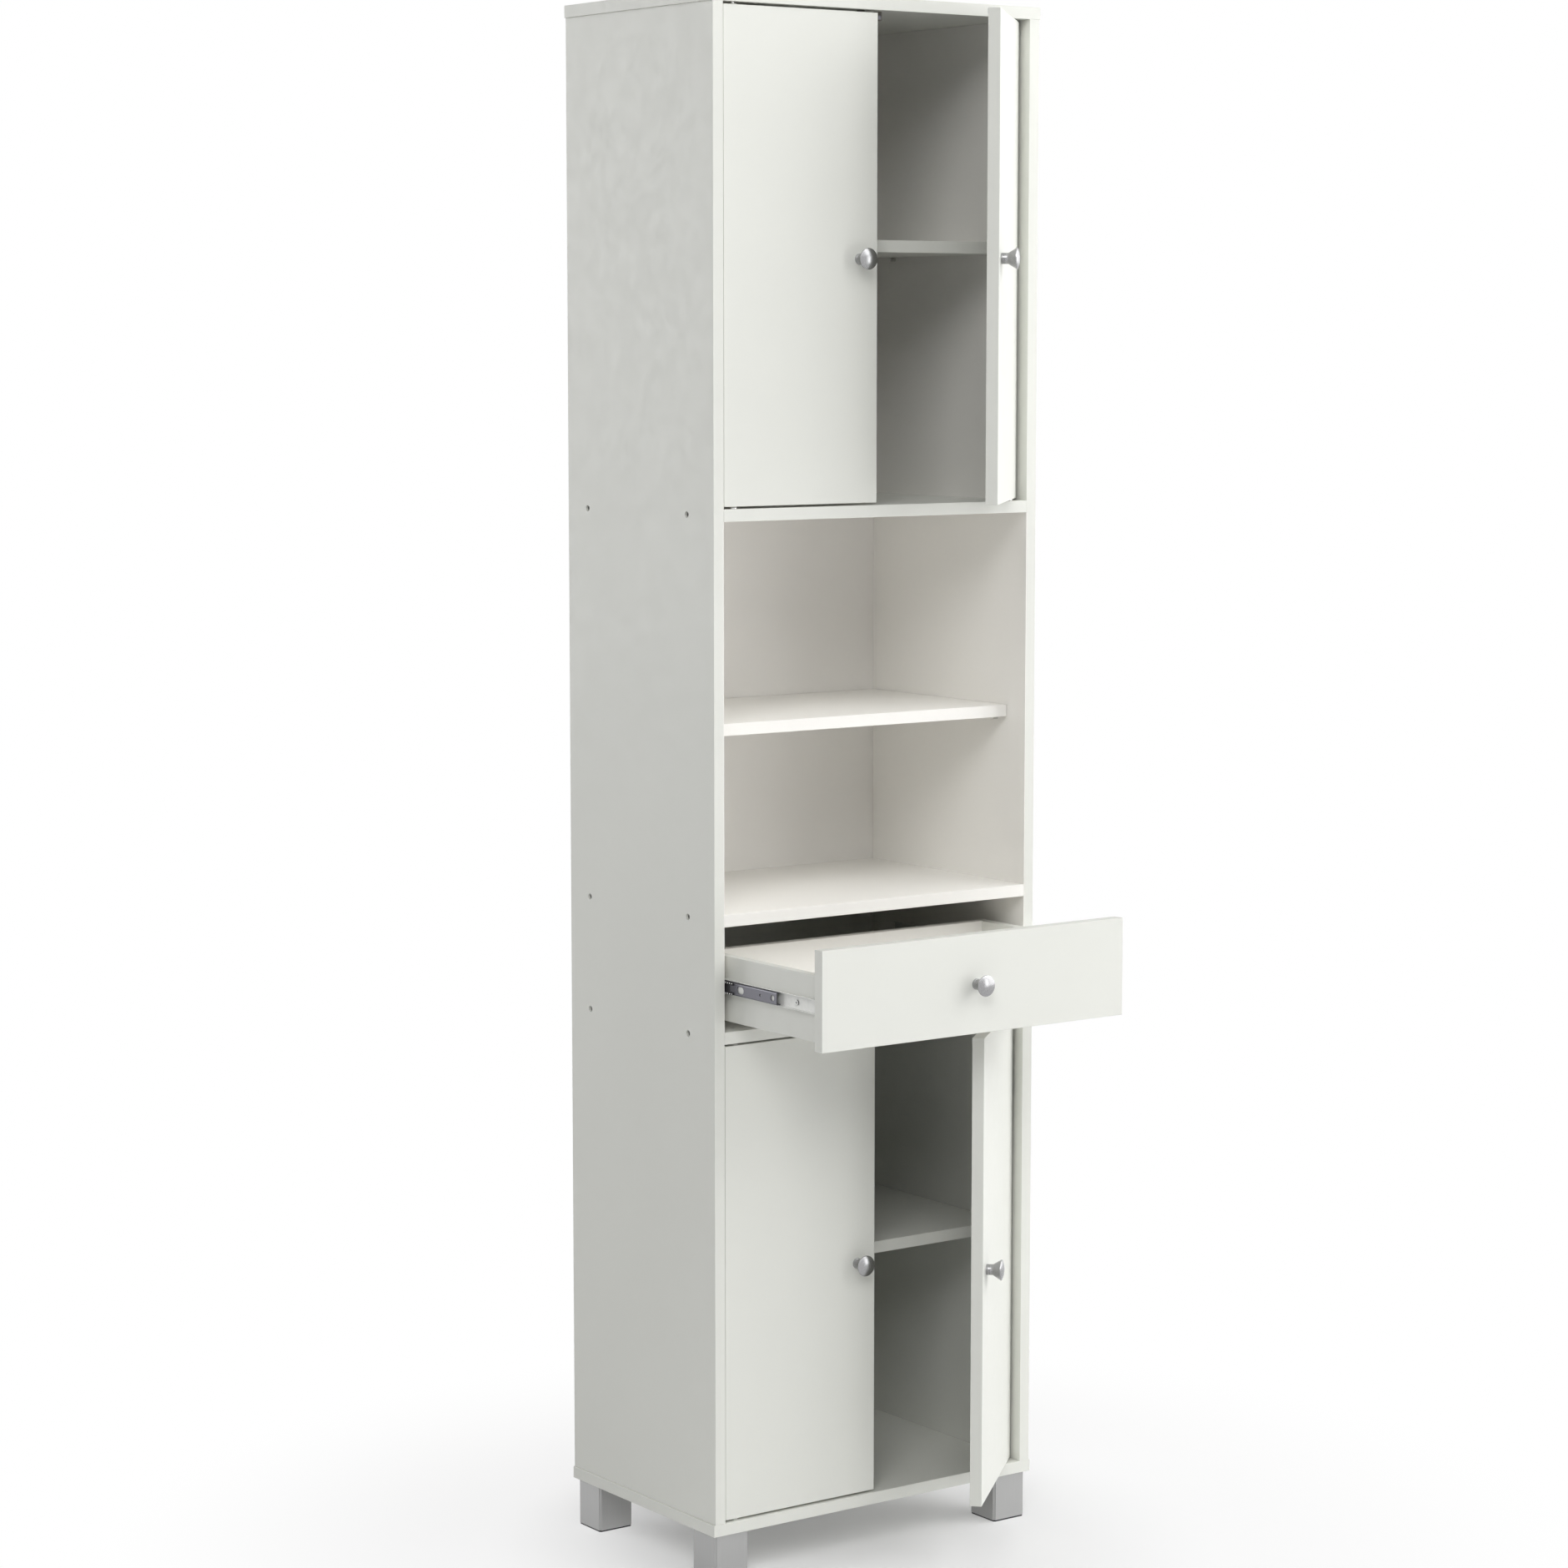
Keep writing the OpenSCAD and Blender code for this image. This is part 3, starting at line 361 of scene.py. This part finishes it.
def satin_steel():
    """Legs: steel with a satin silver lacquer, which takes part of its shine."""
    lacquer = (0.425, 0.425, 0.422)
    upright = (1500.0, 1500.0, 14.0)
    return brushed_metal("satin_steel", lacquer, rough=0.42, brush=upright, metallic=0.80)


def satin_zinc_alloy():
    """Knobs: satin plating, almost without a grain."""
    plating = (0.360, 0.360, 0.364)
    even = (1800.0, 1800.0, 1800.0)
    return brushed_metal("satin_zinc_alloy", plating, rough=0.25, brush=even,
                         depth=0.0015 * MM, clouds=0.1)


def galvanised_steel():
    """Cabinet and drawer members of the slides: bright zinc with a pale bloom."""
    dull, bright = (0.690, 0.695, 0.670), (0.735, 0.740, 0.715)
    s = Shader("galvanised_steel")
    spangle = s.span(s.cells(160.0), 0.0, 0.6, 0.0, 1.0)
    along_slide = s.stretched((900.0, 18.0, 900.0))
    streaks = s.noise(1.0, vector=along_slide)
    s.set(color=s.mix(spangle, dull, bright), metallic=0.20)
    s.set(roughness=s.spread(streaks, 0.42, 0.54))
    s.bump(streaks, distance=0.006 * MM, strength=0.5)
    return s.material


def dark_steel():
    """Middle slide members, and the catches' magnets: dark bluish plating."""
    plating = (0.150, 0.149, 0.168)
    along_slide = (1100.0, 14.0, 1100.0)
    return brushed_metal("dark_steel", plating, rough=0.40, brush=along_slide)


def zinc_plated_steel():
    """Screws, nails and strike plates: zinc plating with a fine grain."""
    plating = (0.56, 0.57, 0.58)
    even = (900.0, 900.0, 900.0)
    return brushed_metal("zinc_plated_steel", plating, rough=0.30, brush=even)


def dark_dull_steel():
    """The panel screws: dark and dull."""
    dark_tone = (0.160, 0.157, 0.150)
    even = (900.0, 900.0, 900.0)
    return brushed_metal("dark_dull_steel", dark_tone, rough=0.48, brush=even, metallic=0.3)


def slide_screw_steel():
    """The drawer's screws: zinc plated, with painted shade, near black, on all that lies deeper
    than the heads' outer faces: the cross recess and the heads' sides.
    """
    dull, bright, dark = (0.66, 0.665, 0.65), (0.72, 0.725, 0.70), (0.05, 0.05, 0.05)
    s = Shader("slide_screw_steel")
    grain = s.noise(900.0, detail=3.0)
    # Painted shade: near black below the heads' outer faces
    painted_recess_shade = s.math("LESS_THAN", s.math("ABSOLUTE", s.axis(0)), SCREW_FACE - PAINTED_SHADE_DEPTH)
    s.set(color=s.mix(painted_recess_shade, s.mix(grain, dull, bright), dark), metallic=0.35)
    s.set(roughness=s.spread(grain, 0.36, 0.48))
    s.bump(grain, distance=0.004 * MM, strength=0.5)
    return s.material


def plated_pins():
    """Shelf pins, door pivots and the slides' balls: polished plating."""
    plating = (0.72, 0.72, 0.71)
    even = (600.0, 600.0, 600.0)
    return brushed_metal("plated_pins", plating, rough=0.20, brush=even, depth=0.003 * MM)


def beech():
    """Dowels: pale wood with rays and a stretched grain."""
    late, early, ray = (0.56, 0.36, 0.20), (0.70, 0.50, 0.31), (0.40, 0.24, 0.13)
    s = Shader("beech")
    across = s.stretched((60.0, 900.0, 900.0))
    grain = s.noise(1.0, detail=5.0, rough=0.6, vector=across)
    rays = s.span(s.noise(700.0), 0.6, 0.75, 0.0, 1.0)
    color = s.mix(s.spread(grain, 0.0, 1.0), late, early)
    s.set(color=s.mix(s.math("MULTIPLY", rays, 0.5), color, ray))
    s.set(roughness=s.spread(grain, 0.62, 0.78))
    s.bump(grain, distance=0.05 * MM, strength=0.6)
    return s.material


def moulded_plastic(name, color, rough):
    """Moulded plastic: spark-eroded grain, a faint flow in the tone."""
    s = Shader(name)
    flow = s.spread(s.noise(30.0, detail=3.0), 0.0, 1.0)
    grain = s.noise(1400.0, detail=3.0)
    s.set(color=s.mix(flow, tone(color, 0.93), tone(color, 1.06)), specular=0.4)
    s.set(roughness=s.spread(grain, rough - 0.06, rough + 0.06))
    s.bump(grain, distance=0.02 * MM, strength=0.6)
    return s.material


def glide_plastic():
    """The legs' glides and the slides' ball retainers: black."""
    return moulded_plastic("glide_plastic", (0.028, 0.028, 0.030), rough=0.55)


def brown_plastic():
    """The catches' housings."""
    return moulded_plastic("brown_plastic", (0.150, 0.138, 0.122), rough=0.50)


def white_plastic():
    """The doors' bushes."""
    return moulded_plastic("white_plastic", (0.74, 0.74, 0.71), rough=0.33)


FINISHES = {
    make.__name__: make()
    for make in (
        white_board,
        painted_light_white_board,
        ceiling_painted_light_board,
        side_painted_light_board,
        upper_painted_light_hardboard,
        lower_hardboard,
        drawer_painted_light_hardboard,
        satin_steel,
        satin_zinc_alloy,
        galvanised_steel,
        dark_steel,
        zinc_plated_steel,
        dark_dull_steel,
        slide_screw_steel,
        plated_pins,
        beech,
        glide_plastic,
        brown_plastic,
        white_plastic,
    )
}


# ---------------------------------------------------------------- making pieces


def finish_piece(name, bm, body, finish, smooth=SMOOTH_BELOW, stands_for=()):
    """Turns a bmesh into a piece that rides on a body."""
    bmesh.ops.remove_doubles(bm, verts=bm.verts, dist=SAME_SPOT)
    bmesh.ops.recalc_face_normals(bm, faces=bm.faces)
    mesh = bpy.data.meshes.new(name)
    bm.to_mesh(mesh)
    bm.free()
    piece = bpy.data.objects.new(name, mesh)
    bpy.context.scene.collection.objects.link(piece)
    mesh.materials.append(FINISHES[finish])
    mesh.shade_smooth()
    mesh.set_sharp_from_angle(angle=smooth)
    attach(piece, body)
    if stands_for:
        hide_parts(*stands_for)


def replace_node(node, ending, bm, smooth=SMOOTH_BELOW):
    """Puts a detailed piece in a CAD node's place, with its body and its finish."""
    finish_piece(f"{node}_{ending}", bm, NODES[node]["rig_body"], SLOTS[node], smooth, (node,))


def middle(node):
    low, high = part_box(node)
    return (low + high) / 2


# ---------------------------------------------------------------- CAD nodes


# Finishes that differ from what the node's slot says
SPECIAL_COATS = {
    "drawer_bottom": "drawer_painted_light_hardboard",
    "drawer_screws": "slide_screw_steel",
    "panel_screws": "dark_dull_steel",
    "catch_housings": "brown_plastic",
    "catch_magnets": "dark_steel",
    "back_panel_upper": "upper_painted_light_hardboard",
    "back_panel_lower": "lower_hardboard",
    "fixed_shelf_upper": "ceiling_painted_light_board",
    "side_panel_left": "side_painted_light_board",
    "side_panel_right": "side_painted_light_board",
    **{node: "painted_light_white_board" for node in PAINTED_LIGHT_BOARDS},
}

# How far each slot's edges are rounded; those of sawn hardboard and wood stay sharp
ARRISES = {
    "white_board": 0.45 * MM,
    "satin_steel": 0.30 * MM,
    "glide_plastic": 0.30 * MM,
}
OTHER_ARRIS = 0.20 * MM
SHARP_SLOTS = ("white_hardboard", "beech")
ARRIS_SEGMENTS = 2
ARRIS_ABOVE = math.radians(50.0)
FLAT_BELOW = math.radians(0.5)
FACE_WEIGHT = 80


def soften(piece, arris):
    """Rounds a CAD node's edges slightly, in modifiers."""
    weld = piece.modifiers.new("weld", "WELD")
    weld.merge_threshold = SAME_SPOT
    flat = piece.modifiers.new("flat", "DECIMATE")
    flat.decimate_type = "DISSOLVE"
    flat.angle_limit = FLAT_BELOW
    arrises = piece.modifiers.new("arrises", "BEVEL")
    arrises.width = arris
    arrises.segments = ARRIS_SEGMENTS
    arrises.loop_slide = False
    arrises.limit_method = "ANGLE"
    arrises.angle_limit = ARRIS_ABOVE
    arrises.use_clamp_overlap = False
    normals = piece.modifiers.new("normals", "WEIGHTED_NORMAL")
    normals.keep_sharp = False
    normals.weight = FACE_WEIGHT


def dress_nodes():
    """Gives every CAD node its finish, and rounds the edges of boards, metal and plastic."""
    for node, piece in NODES.items():
        slot = SLOTS[node]
        for place in piece.material_slots:
            place.material = FINISHES[SPECIAL_COATS.get(node, slot)]
        if slot not in SHARP_SLOTS:
            soften(piece, ARRISES.get(slot, OTHER_ARRIS))


# ---------------------------------------------------------------- knobs


# Radii of the screw hole, the stem and the head
KNOB_BORE, KNOB_STEM, KNOB_HEAD = 2.05 * MM, 6.8 * MM, 13.0 * MM

# Lengths along the axis: the screw hole, then the stem, the flare, the rim and the dome
KNOB_BORE_DEPTH = 8.05 * MM
KNOB_STEM_LENGTH, KNOB_FLARE, KNOB_RIM, KNOB_DOME = 8.5 * MM, 10.0 * MM, 1.0 * MM, 3.0 * MM

# Heights of the grooves turned into the stem
KNOB_GROOVES = (1.5 * MM, 3.2 * MM, 4.9 * MM)
GROOVE_WIDTH, GROOVE_DEPTH = 0.5 * MM, 0.30 * MM

KNOB_ARRIS = 0.25 * MM
DOME_STEPS = 16
TURN_STEPS = 96


def turned(profile, at, direction):
    """Turns a profile of (radius, height) points round the axis of a direction."""
    bm = bmesh.new()
    verts = [bm.verts.new((r, 0.0, h)) for r, h in profile]
    for a, b in zip(verts, verts[1:]):
        bm.edges.new((a, b))
    bmesh.ops.spin(
        bm,
        geom=bm.verts[:] + bm.edges[:],
        cent=(0, 0, 0),
        axis=(0, 0, 1),
        angle=math.tau,
        steps=TURN_STEPS,
        use_merge=True,
    )
    bmesh.ops.remove_doubles(bm, verts=bm.verts, dist=SAME_SPOT)
    turn = Vector((0, 0, 1)).rotation_difference(direction).to_matrix().to_4x4()
    bmesh.ops.transform(bm, matrix=Matrix.Translation(at) @ turn, verts=bm.verts)
    return bm


def groove_points(height):
    """A groove's half section, round a height on the stem."""
    floor = KNOB_STEM - GROOVE_DEPTH
    return [
        (KNOB_STEM, height - GROOVE_WIDTH / 2),
        (floor, height - GROOVE_WIDTH / 8),
        (floor, height + GROOVE_WIDTH / 8),
        (KNOB_STEM, height + GROOVE_WIDTH / 2),
    ]


def dome_points(rim):
    """The dome's half section above the rim, from its edge to the axis."""
    reach = (KNOB_HEAD ** 2 + KNOB_DOME ** 2) / (2 * KNOB_DOME)
    arc = math.asin((KNOB_HEAD - KNOB_ARRIS) / reach)
    turns = [arc * (1 - step / DOME_STEPS) for step in range(DOME_STEPS + 1)]
    return [(reach * math.sin(t), rim + KNOB_DOME - reach * (1 - math.cos(t))) for t in turns]


def knob_profile():
    """The knob's half section: screw hole, grooved stem, flare, thin rim and shallow dome."""
    flare_end = KNOB_STEM_LENGTH + KNOB_FLARE
    rim = flare_end + KNOB_RIM
    return [
        (0.0, KNOB_BORE_DEPTH),
        (KNOB_BORE, KNOB_BORE_DEPTH),
        (KNOB_BORE, 0.0),
        (KNOB_STEM - KNOB_ARRIS, 0.0),
        (KNOB_STEM, KNOB_ARRIS),
        *(point for height in KNOB_GROOVES for point in groove_points(height)),
        (KNOB_STEM, KNOB_STEM_LENGTH - KNOB_ARRIS),
        (KNOB_STEM + KNOB_ARRIS / 2, KNOB_STEM_LENGTH + KNOB_ARRIS),
        (KNOB_HEAD - KNOB_ARRIS, flare_end - KNOB_ARRIS),
        (KNOB_HEAD, flare_end),
        (KNOB_HEAD, rim - KNOB_ARRIS),
        *dome_points(rim),
    ]


def make_knob(node):
    """A turned knob in place of its CAD node, on the axis of its own screw."""
    screw = middle(node + "_screw")
    outward = middle(node) - screw
    outward.z = 0.0
    outward.normalize()
    seat = min(v.co.dot(outward) for v in NODES[node].data.vertices)
    at = screw + outward * (seat - screw.dot(outward))
    replace_node(node, "turned", turned(knob_profile(), at, outward), KNOB_SMOOTH_BELOW)


def make_knobs():
    for node in [name for name in NODES if name.endswith("_knob")]:
        make_knob(node)


# ---------------------------------------------------------------- drawer slides


# A member's long edges: at least this long, this nearly along the slide, and this sharp
LONG_EDGE = 60 * MM
ALONG_SLIDE = 0.999
CORNER_ABOVE = 1.0

# An edge beside a face narrower than this ends the sheet's thickness
SHEET_EDGE = 1.3 * MM

# Radius and segments of the bends seen from inside and from outside, and of the sheet's ends
INNER_BEND = (0.5 * MM, 4)
OUTER_BEND = (1.5 * MM, 6)
SHEET_END = (0.42 * MM, 3)


def bevel_edges(bm, edges, offset, segments, clamp_overlap=False):
    bmesh.ops.bevel(
        bm,
        geom=edges,
        offset=offset,
        offset_type="OFFSET",
        affect="EDGES",
        segments=segments,
        profile=0.5,
        material=-1,
        clamp_overlap=clamp_overlap,
    )


def is_long_corner(edge):
    start, end = (v.co for v in edge.verts)
    return (
        edge.calc_length() > LONG_EDGE
        and abs((start - end).normalized().y) > ALONG_SLIDE
        and edge.calc_face_angle(0.0) > CORNER_ABOVE
    )


def rolled_member(node):
    """A slide member with rolled corners, made from a merged copy of its CAD node."""
    bm = bmesh.new()
    bm.from_mesh(NODES[node].data)
    bmesh.ops.remove_doubles(bm, verts=bm.verts, dist=SAME_SPOT)
    bmesh.ops.dissolve_limit(
        bm,
        angle_limit=FLAT_BELOW,
        verts=bm.verts,
        edges=bm.edges,
        use_dissolve_boundaries=False,
    )
    outer, inner, ends = [], [], []
    for edge in filter(is_long_corner, bm.edges):
        length = edge.calc_length()
        if any(face.calc_area() / length < SHEET_EDGE for face in edge.link_faces):
            ends.append(edge)
        elif edge.is_convex:
            outer.append(edge)
        else:
            inner.append(edge)
    for edges, bend in ((inner, INNER_BEND), (outer, OUTER_BEND), (ends, SHEET_END)):
        live = [edge for edge in edges if edge.is_valid]
        if live:
            bevel_edges(bm, live, *bend, clamp_overlap=True)
    return bm


def make_slides():
    for side in SIDES:
        for kind in ("cabinet", "middle", "drawer"):
            node = f"slide_{kind}_{side}"
            replace_node(node, "rolled", rolled_member(node))


# ---------------------------------------------------------------- balls in the slides


# The retainer outside a middle member: where it starts behind the member's front, its length,
# how far it stands off, and its plate
RETAINER_START, RETAINER_LENGTH, RETAINER_GAP = 88.5 * MM, 96.0 * MM, 0.03 * MM
PLATE_START, PLATE_RISE, PLATE_T = 8.4 * MM, 7.3 * MM, 0.26 * MM

# Its rails and the fingers between its balls: heights from the slide's middle, and sizes
RAIL_LOW, RAIL_HIGH, CAGE_DEPTH = 4.3 * MM, 5.2 * MM, 1.3 * MM
FINGER_LAP, FINGER_W, FINGER_RISE = 0.3 * MM, 1.9 * MM, 7.4 * MM
RETAINER_ARRIS = 0.15 * MM

# Its balls
BALL_PITCH, BALL_RADIUS = 4.3 * MM, 0.80 * MM
BALL_OUT, BALL_RISE = 0.85 * MM, 6.35 * MM
FINGERS = int(RETAINER_LENGTH / BALL_PITCH)
BALL_ARC_STEPS, BALL_TURN_STEPS = 8, 14

# The bright cage inside a middle member
INNER_CAGE_IN, INNER_CAGE_T = 1.5 * MM, 0.5 * MM
INNER_CAGE_SHORT, INNER_CAGE_RISE = 3.0 * MM, 5.6 * MM
INNER_CAGE_ARRIS = 0.12 * MM


def add_block(bm, low, high, arris=0.0):
    """A block between two corners, with rounded edges where an arris is given."""
    made = bmesh.ops.create_cube(bm, size=1.0)["verts"]
    low, high = Vector(low), Vector(high)
    size = Matrix.Diagonal((*(abs(b - a) for a, b in zip(low, high)), 1.0))
    bmesh.ops.transform(bm, matrix=Matrix.Translation((low + high) / 2) @ size, verts=made)
    if arris:
        edges = list(dict.fromkeys(edge for v in made for edge in v.link_edges))
        bevel_edges(bm, edges, arris, ARRIS_SEGMENTS)


def add_ball(bm, at, radius):
    """A bearing ball, spun from a half circle."""
    top = bm.verts.new(Vector(at) + Vector((0, 0, radius)))
    bmesh.ops.spin(bm, geom=[top], cent=at, axis=(1, 0, 0), angle=math.pi, steps=BALL_ARC_STEPS)
    arc = [v for v in bm.verts if not v.link_faces]
    edges = list(dict.fromkeys(edge for v in arc for edge in v.link_edges))
    bmesh.ops.spin(bm, geom=arc + edges, cent=at, axis=(0, 0, 1), angle=math.tau,
                   steps=BALL_TURN_STEPS, use_merge=True)


def make_retainer(side, face, front, z):
    """The black retainer outside a middle member: a plate, two rails and their fingers."""
    out = SIDES[side]
    back = front + RETAINER_LENGTH
    bm = bmesh.new()
    add_block(bm, (face, front + PLATE_START, z - PLATE_RISE),
              (face + out * PLATE_T, back, z + PLATE_RISE))
    for up in (-1, 1):
        rail_top = z + up * RAIL_HIGH
        add_block(bm, (face, front, z + up * RAIL_LOW),
                  (face + out * CAGE_DEPTH, back, rail_top), RETAINER_ARRIS)
        for step in range(FINGERS):
            y = front + step * BALL_PITCH
            add_block(bm, (face, y, rail_top - up * FINGER_LAP),
                      (face + out * CAGE_DEPTH, y + FINGER_W, z + up * FINGER_RISE), RETAINER_ARRIS)
    finish_piece(f"ball_retainer_{side}", bm, f"runner_{side}", "glide_plastic")


def make_outer_balls(side, face, front, z):
    """The balls between the retainer's fingers, in two rows."""
    x = face + SIDES[side] * BALL_OUT
    bm = bmesh.new()
    for up in (-1, 1):
        for step in range(FINGERS - 1):
            y = front + (step + 0.5) * BALL_PITCH + FINGER_W / 2
            add_ball(bm, (x, y, z + up * BALL_RISE), BALL_RADIUS)
    finish_piece(f"outer_balls_{side}", bm, f"runner_{side}", "plated_pins")


def make_inner_cage(side, web, low_y, high_y, z):
    """The bright cage in the hollow of a middle member."""
    out = SIDES[side]
    x = web - out * INNER_CAGE_IN
    bm = bmesh.new()
    add_block(bm, (x, low_y + INNER_CAGE_SHORT, z - INNER_CAGE_RISE),
              (x - out * INNER_CAGE_T, high_y - INNER_CAGE_SHORT, z + INNER_CAGE_RISE),
              INNER_CAGE_ARRIS)
    finish_piece(f"inner_cage_{side}", bm, f"runner_{side}", "galvanised_steel")


def make_ball_cages():
    """What rolls on either side of each middle member."""
    for side, out in SIDES.items():
        low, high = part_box(f"slide_middle_{side}")
        z = (low.z + high.z) / 2
        web = out * max(abs(low.x), abs(high.x))
        face = web + out * RETAINER_GAP
        front = low.y + RETAINER_START
        make_retainer(side, face, front, z)
        make_outer_balls(side, face, front, z)
        make_inner_cage(side, web, low.y, high.y, z)


# ---------------------------------------------------------------- stage


FLOOR_REACH = 30.0
FLOOR_GREY = (0.86, 0.86, 0.86)

# How white the camera and metal see the floor near, beside and away from the part, and the
# distances from its middle, in metres, between which that changes: this white is a glow, which
# lightens the part's shadow
NEAR_WHITE, BESIDE_WHITE = 0.15, 0.82
BESIDE_FADE = (0.12, 0.48)
AWAY_FADE = (0.40, 1.00)

# The lamps alone light the part; the world is only the white background
WORLD_COLOR = (1.0, 1.0, 1.0, 1.0)
WORLD_LIGHT, WORLD_SEEN = 0.0, 1.0

# Softboxes: degrees round from the front and up, distance, width and height, power.
# They stay well away from the part, so that no near surface burns out to white.
AIM = (0.0, 0.0, 0.95)
SOFTBOXES = {
    "key_right": (65, 10, 6.0, (4.4, 4.4), 101.0),
    "high_right": (65, 36, 6.0, (4.0, 4.0), 114.0),
    "fill_right": (95, 8, 14.0, (7.0, 7.0), 210.0),
    "front_right": (31, 4, 6.0, (1.8, 2.8), 43.0),
    "high_front_right": (30, 36, 6.0, (3.0, 3.0), 66.0),
    "high_front": (0, 32, 14.0, (7.0, 7.0), 75.0),
    "top_front": (0, 62, 6.0, (3.0, 3.0), 26.0),
    "high_left": (-40, 36, 14.0, (7.0, 7.0), 765.0),
    "top_left": (-60, 62, 6.0, (3.0, 3.0), 18.0),
    "rear_left": (-145, 10, 6.0, (3.0, 3.0), 92.0),
}


def seen_rays(tree):
    """1 for what the camera sees, also in metal and through glass, and 0 for light."""
    rays = tree.nodes.new("ShaderNodeLightPath")
    seen = rays.outputs["Is Camera Ray"]
    for name in ("Is Glossy Ray", "Is Transmission Ray"):
        either = tree.nodes.new("ShaderNodeMath")
        either.operation = "MAXIMUM"
        tree.links.new(seen, either.inputs[0])
        tree.links.new(rays.outputs[name], either.inputs[1])
        seen = either.outputs[0]
    return seen


def blend_shaders(tree, factor, first, second, output):
    """Leads two shaders to an output, mixed by a factor."""
    blend = tree.nodes.new("ShaderNodeMixShader")
    for source, socket in zip((factor, first.outputs[0], second.outputs[0]), blend.inputs):
        tree.links.new(source, socket)
    tree.links.new(blend.outputs[0], tree.nodes[output].inputs["Surface"])


def make_floor():
    """A pale floor that keeps most of the part's shadow near it, and glows white away from it,
    which lightens that shadow.
    """
    bm = bmesh.new()
    bmesh.ops.create_grid(bm, x_segments=2, y_segments=2, size=FLOOR_REACH)
    mesh = bpy.data.meshes.new("floor")
    bm.to_mesh(mesh)
    bm.free()
    floor = bpy.data.objects.new("floor", mesh)
    bpy.context.scene.collection.objects.link(floor)
    s = Shader("floor")
    s.set(color=FLOOR_GREY, roughness=0.9, specular=0.1)
    mesh.materials.append(s.material)
    away = s.add("ShaderNodeVectorMath", operation="LENGTH")
    s.join(s.spot, away.inputs[0])
    beside = s.smooth_span(away.outputs["Value"], *BESIDE_FADE, NEAR_WHITE, BESIDE_WHITE)
    beyond = s.smooth_span(away.outputs["Value"], *AWAY_FADE, 0.0, 1.0 - BESIDE_WHITE)
    # The glow lightens the part's shadow on the floor, a little near the part and much beside it
    white = s.math("MULTIPLY", s.math("ADD", beside, beyond), seen_rays(s.tree))
    blend_shaders(s.tree, white, s.bsdf, s.add("ShaderNodeEmission"), "Material Output")


def make_world():
    """A white background that sheds no light on the part."""
    world = bpy.data.worlds.new("studio")
    bpy.context.scene.world = world
    world.use_nodes = True
    tree = world.node_tree
    ambient = tree.nodes["Background"]
    white = tree.nodes.new("ShaderNodeBackground")
    for node, strength in ((ambient, WORLD_LIGHT), (white, WORLD_SEEN)):
        node.inputs["Color"].default_value = WORLD_COLOR
        node.inputs["Strength"].default_value = strength
    blend_shaders(tree, seen_rays(tree), ambient, white, "World Output")


def make_softbox(name, azimuth, elevation, distance, size, power):
    light = bpy.data.lights.new(name, "AREA")
    light.shape = "RECTANGLE"
    light.size, light.size_y = size
    light.energy = power
    lamp = bpy.data.objects.new(name, light)
    bpy.context.scene.collection.objects.link(lamp)
    turn, lift = math.radians(azimuth), math.radians(elevation)
    level = math.cos(lift)
    away = Vector((math.sin(turn) * level, -math.cos(turn) * level, math.sin(lift)))
    facing = (-away).to_track_quat("-Z", "Y").to_matrix().to_4x4()
    lamp.matrix_world = Matrix.Translation(Vector(AIM) + away * distance) @ facing
    lamp.visible_camera = False


def make_camera():
    data = bpy.data.cameras.new("camera")
    data.sensor_width = CAMERA_SENSOR
    data.lens = CAMERA_LENS
    data.shift_x, data.shift_y = CAMERA_SHIFT
    data.clip_end = CAMERA_REACH
    camera = bpy.data.objects.new("camera", data)
    bpy.context.scene.collection.objects.link(camera)
    turn = Matrix.Rotation(CAMERA_YAW, 4, "Z")
    tilt = Matrix.Rotation(math.radians(90.0) + CAMERA_TILT, 4, "X")
    roll = Matrix.Rotation(CAMERA_ROLL, 4, "Z")
    camera.matrix_world = Matrix.Translation(CAMERA_SPOT) @ turn @ tilt @ roll
    bpy.context.scene.camera = camera


# ---------------------------------------------------------------- the scene


dress_nodes()
make_knobs()
make_slides()
make_ball_cages()
make_floor()
make_world()
for name, row in SOFTBOXES.items():
    make_softbox(name, *row)
make_camera()
bpy.context.scene.view_settings.view_transform = "Standard"
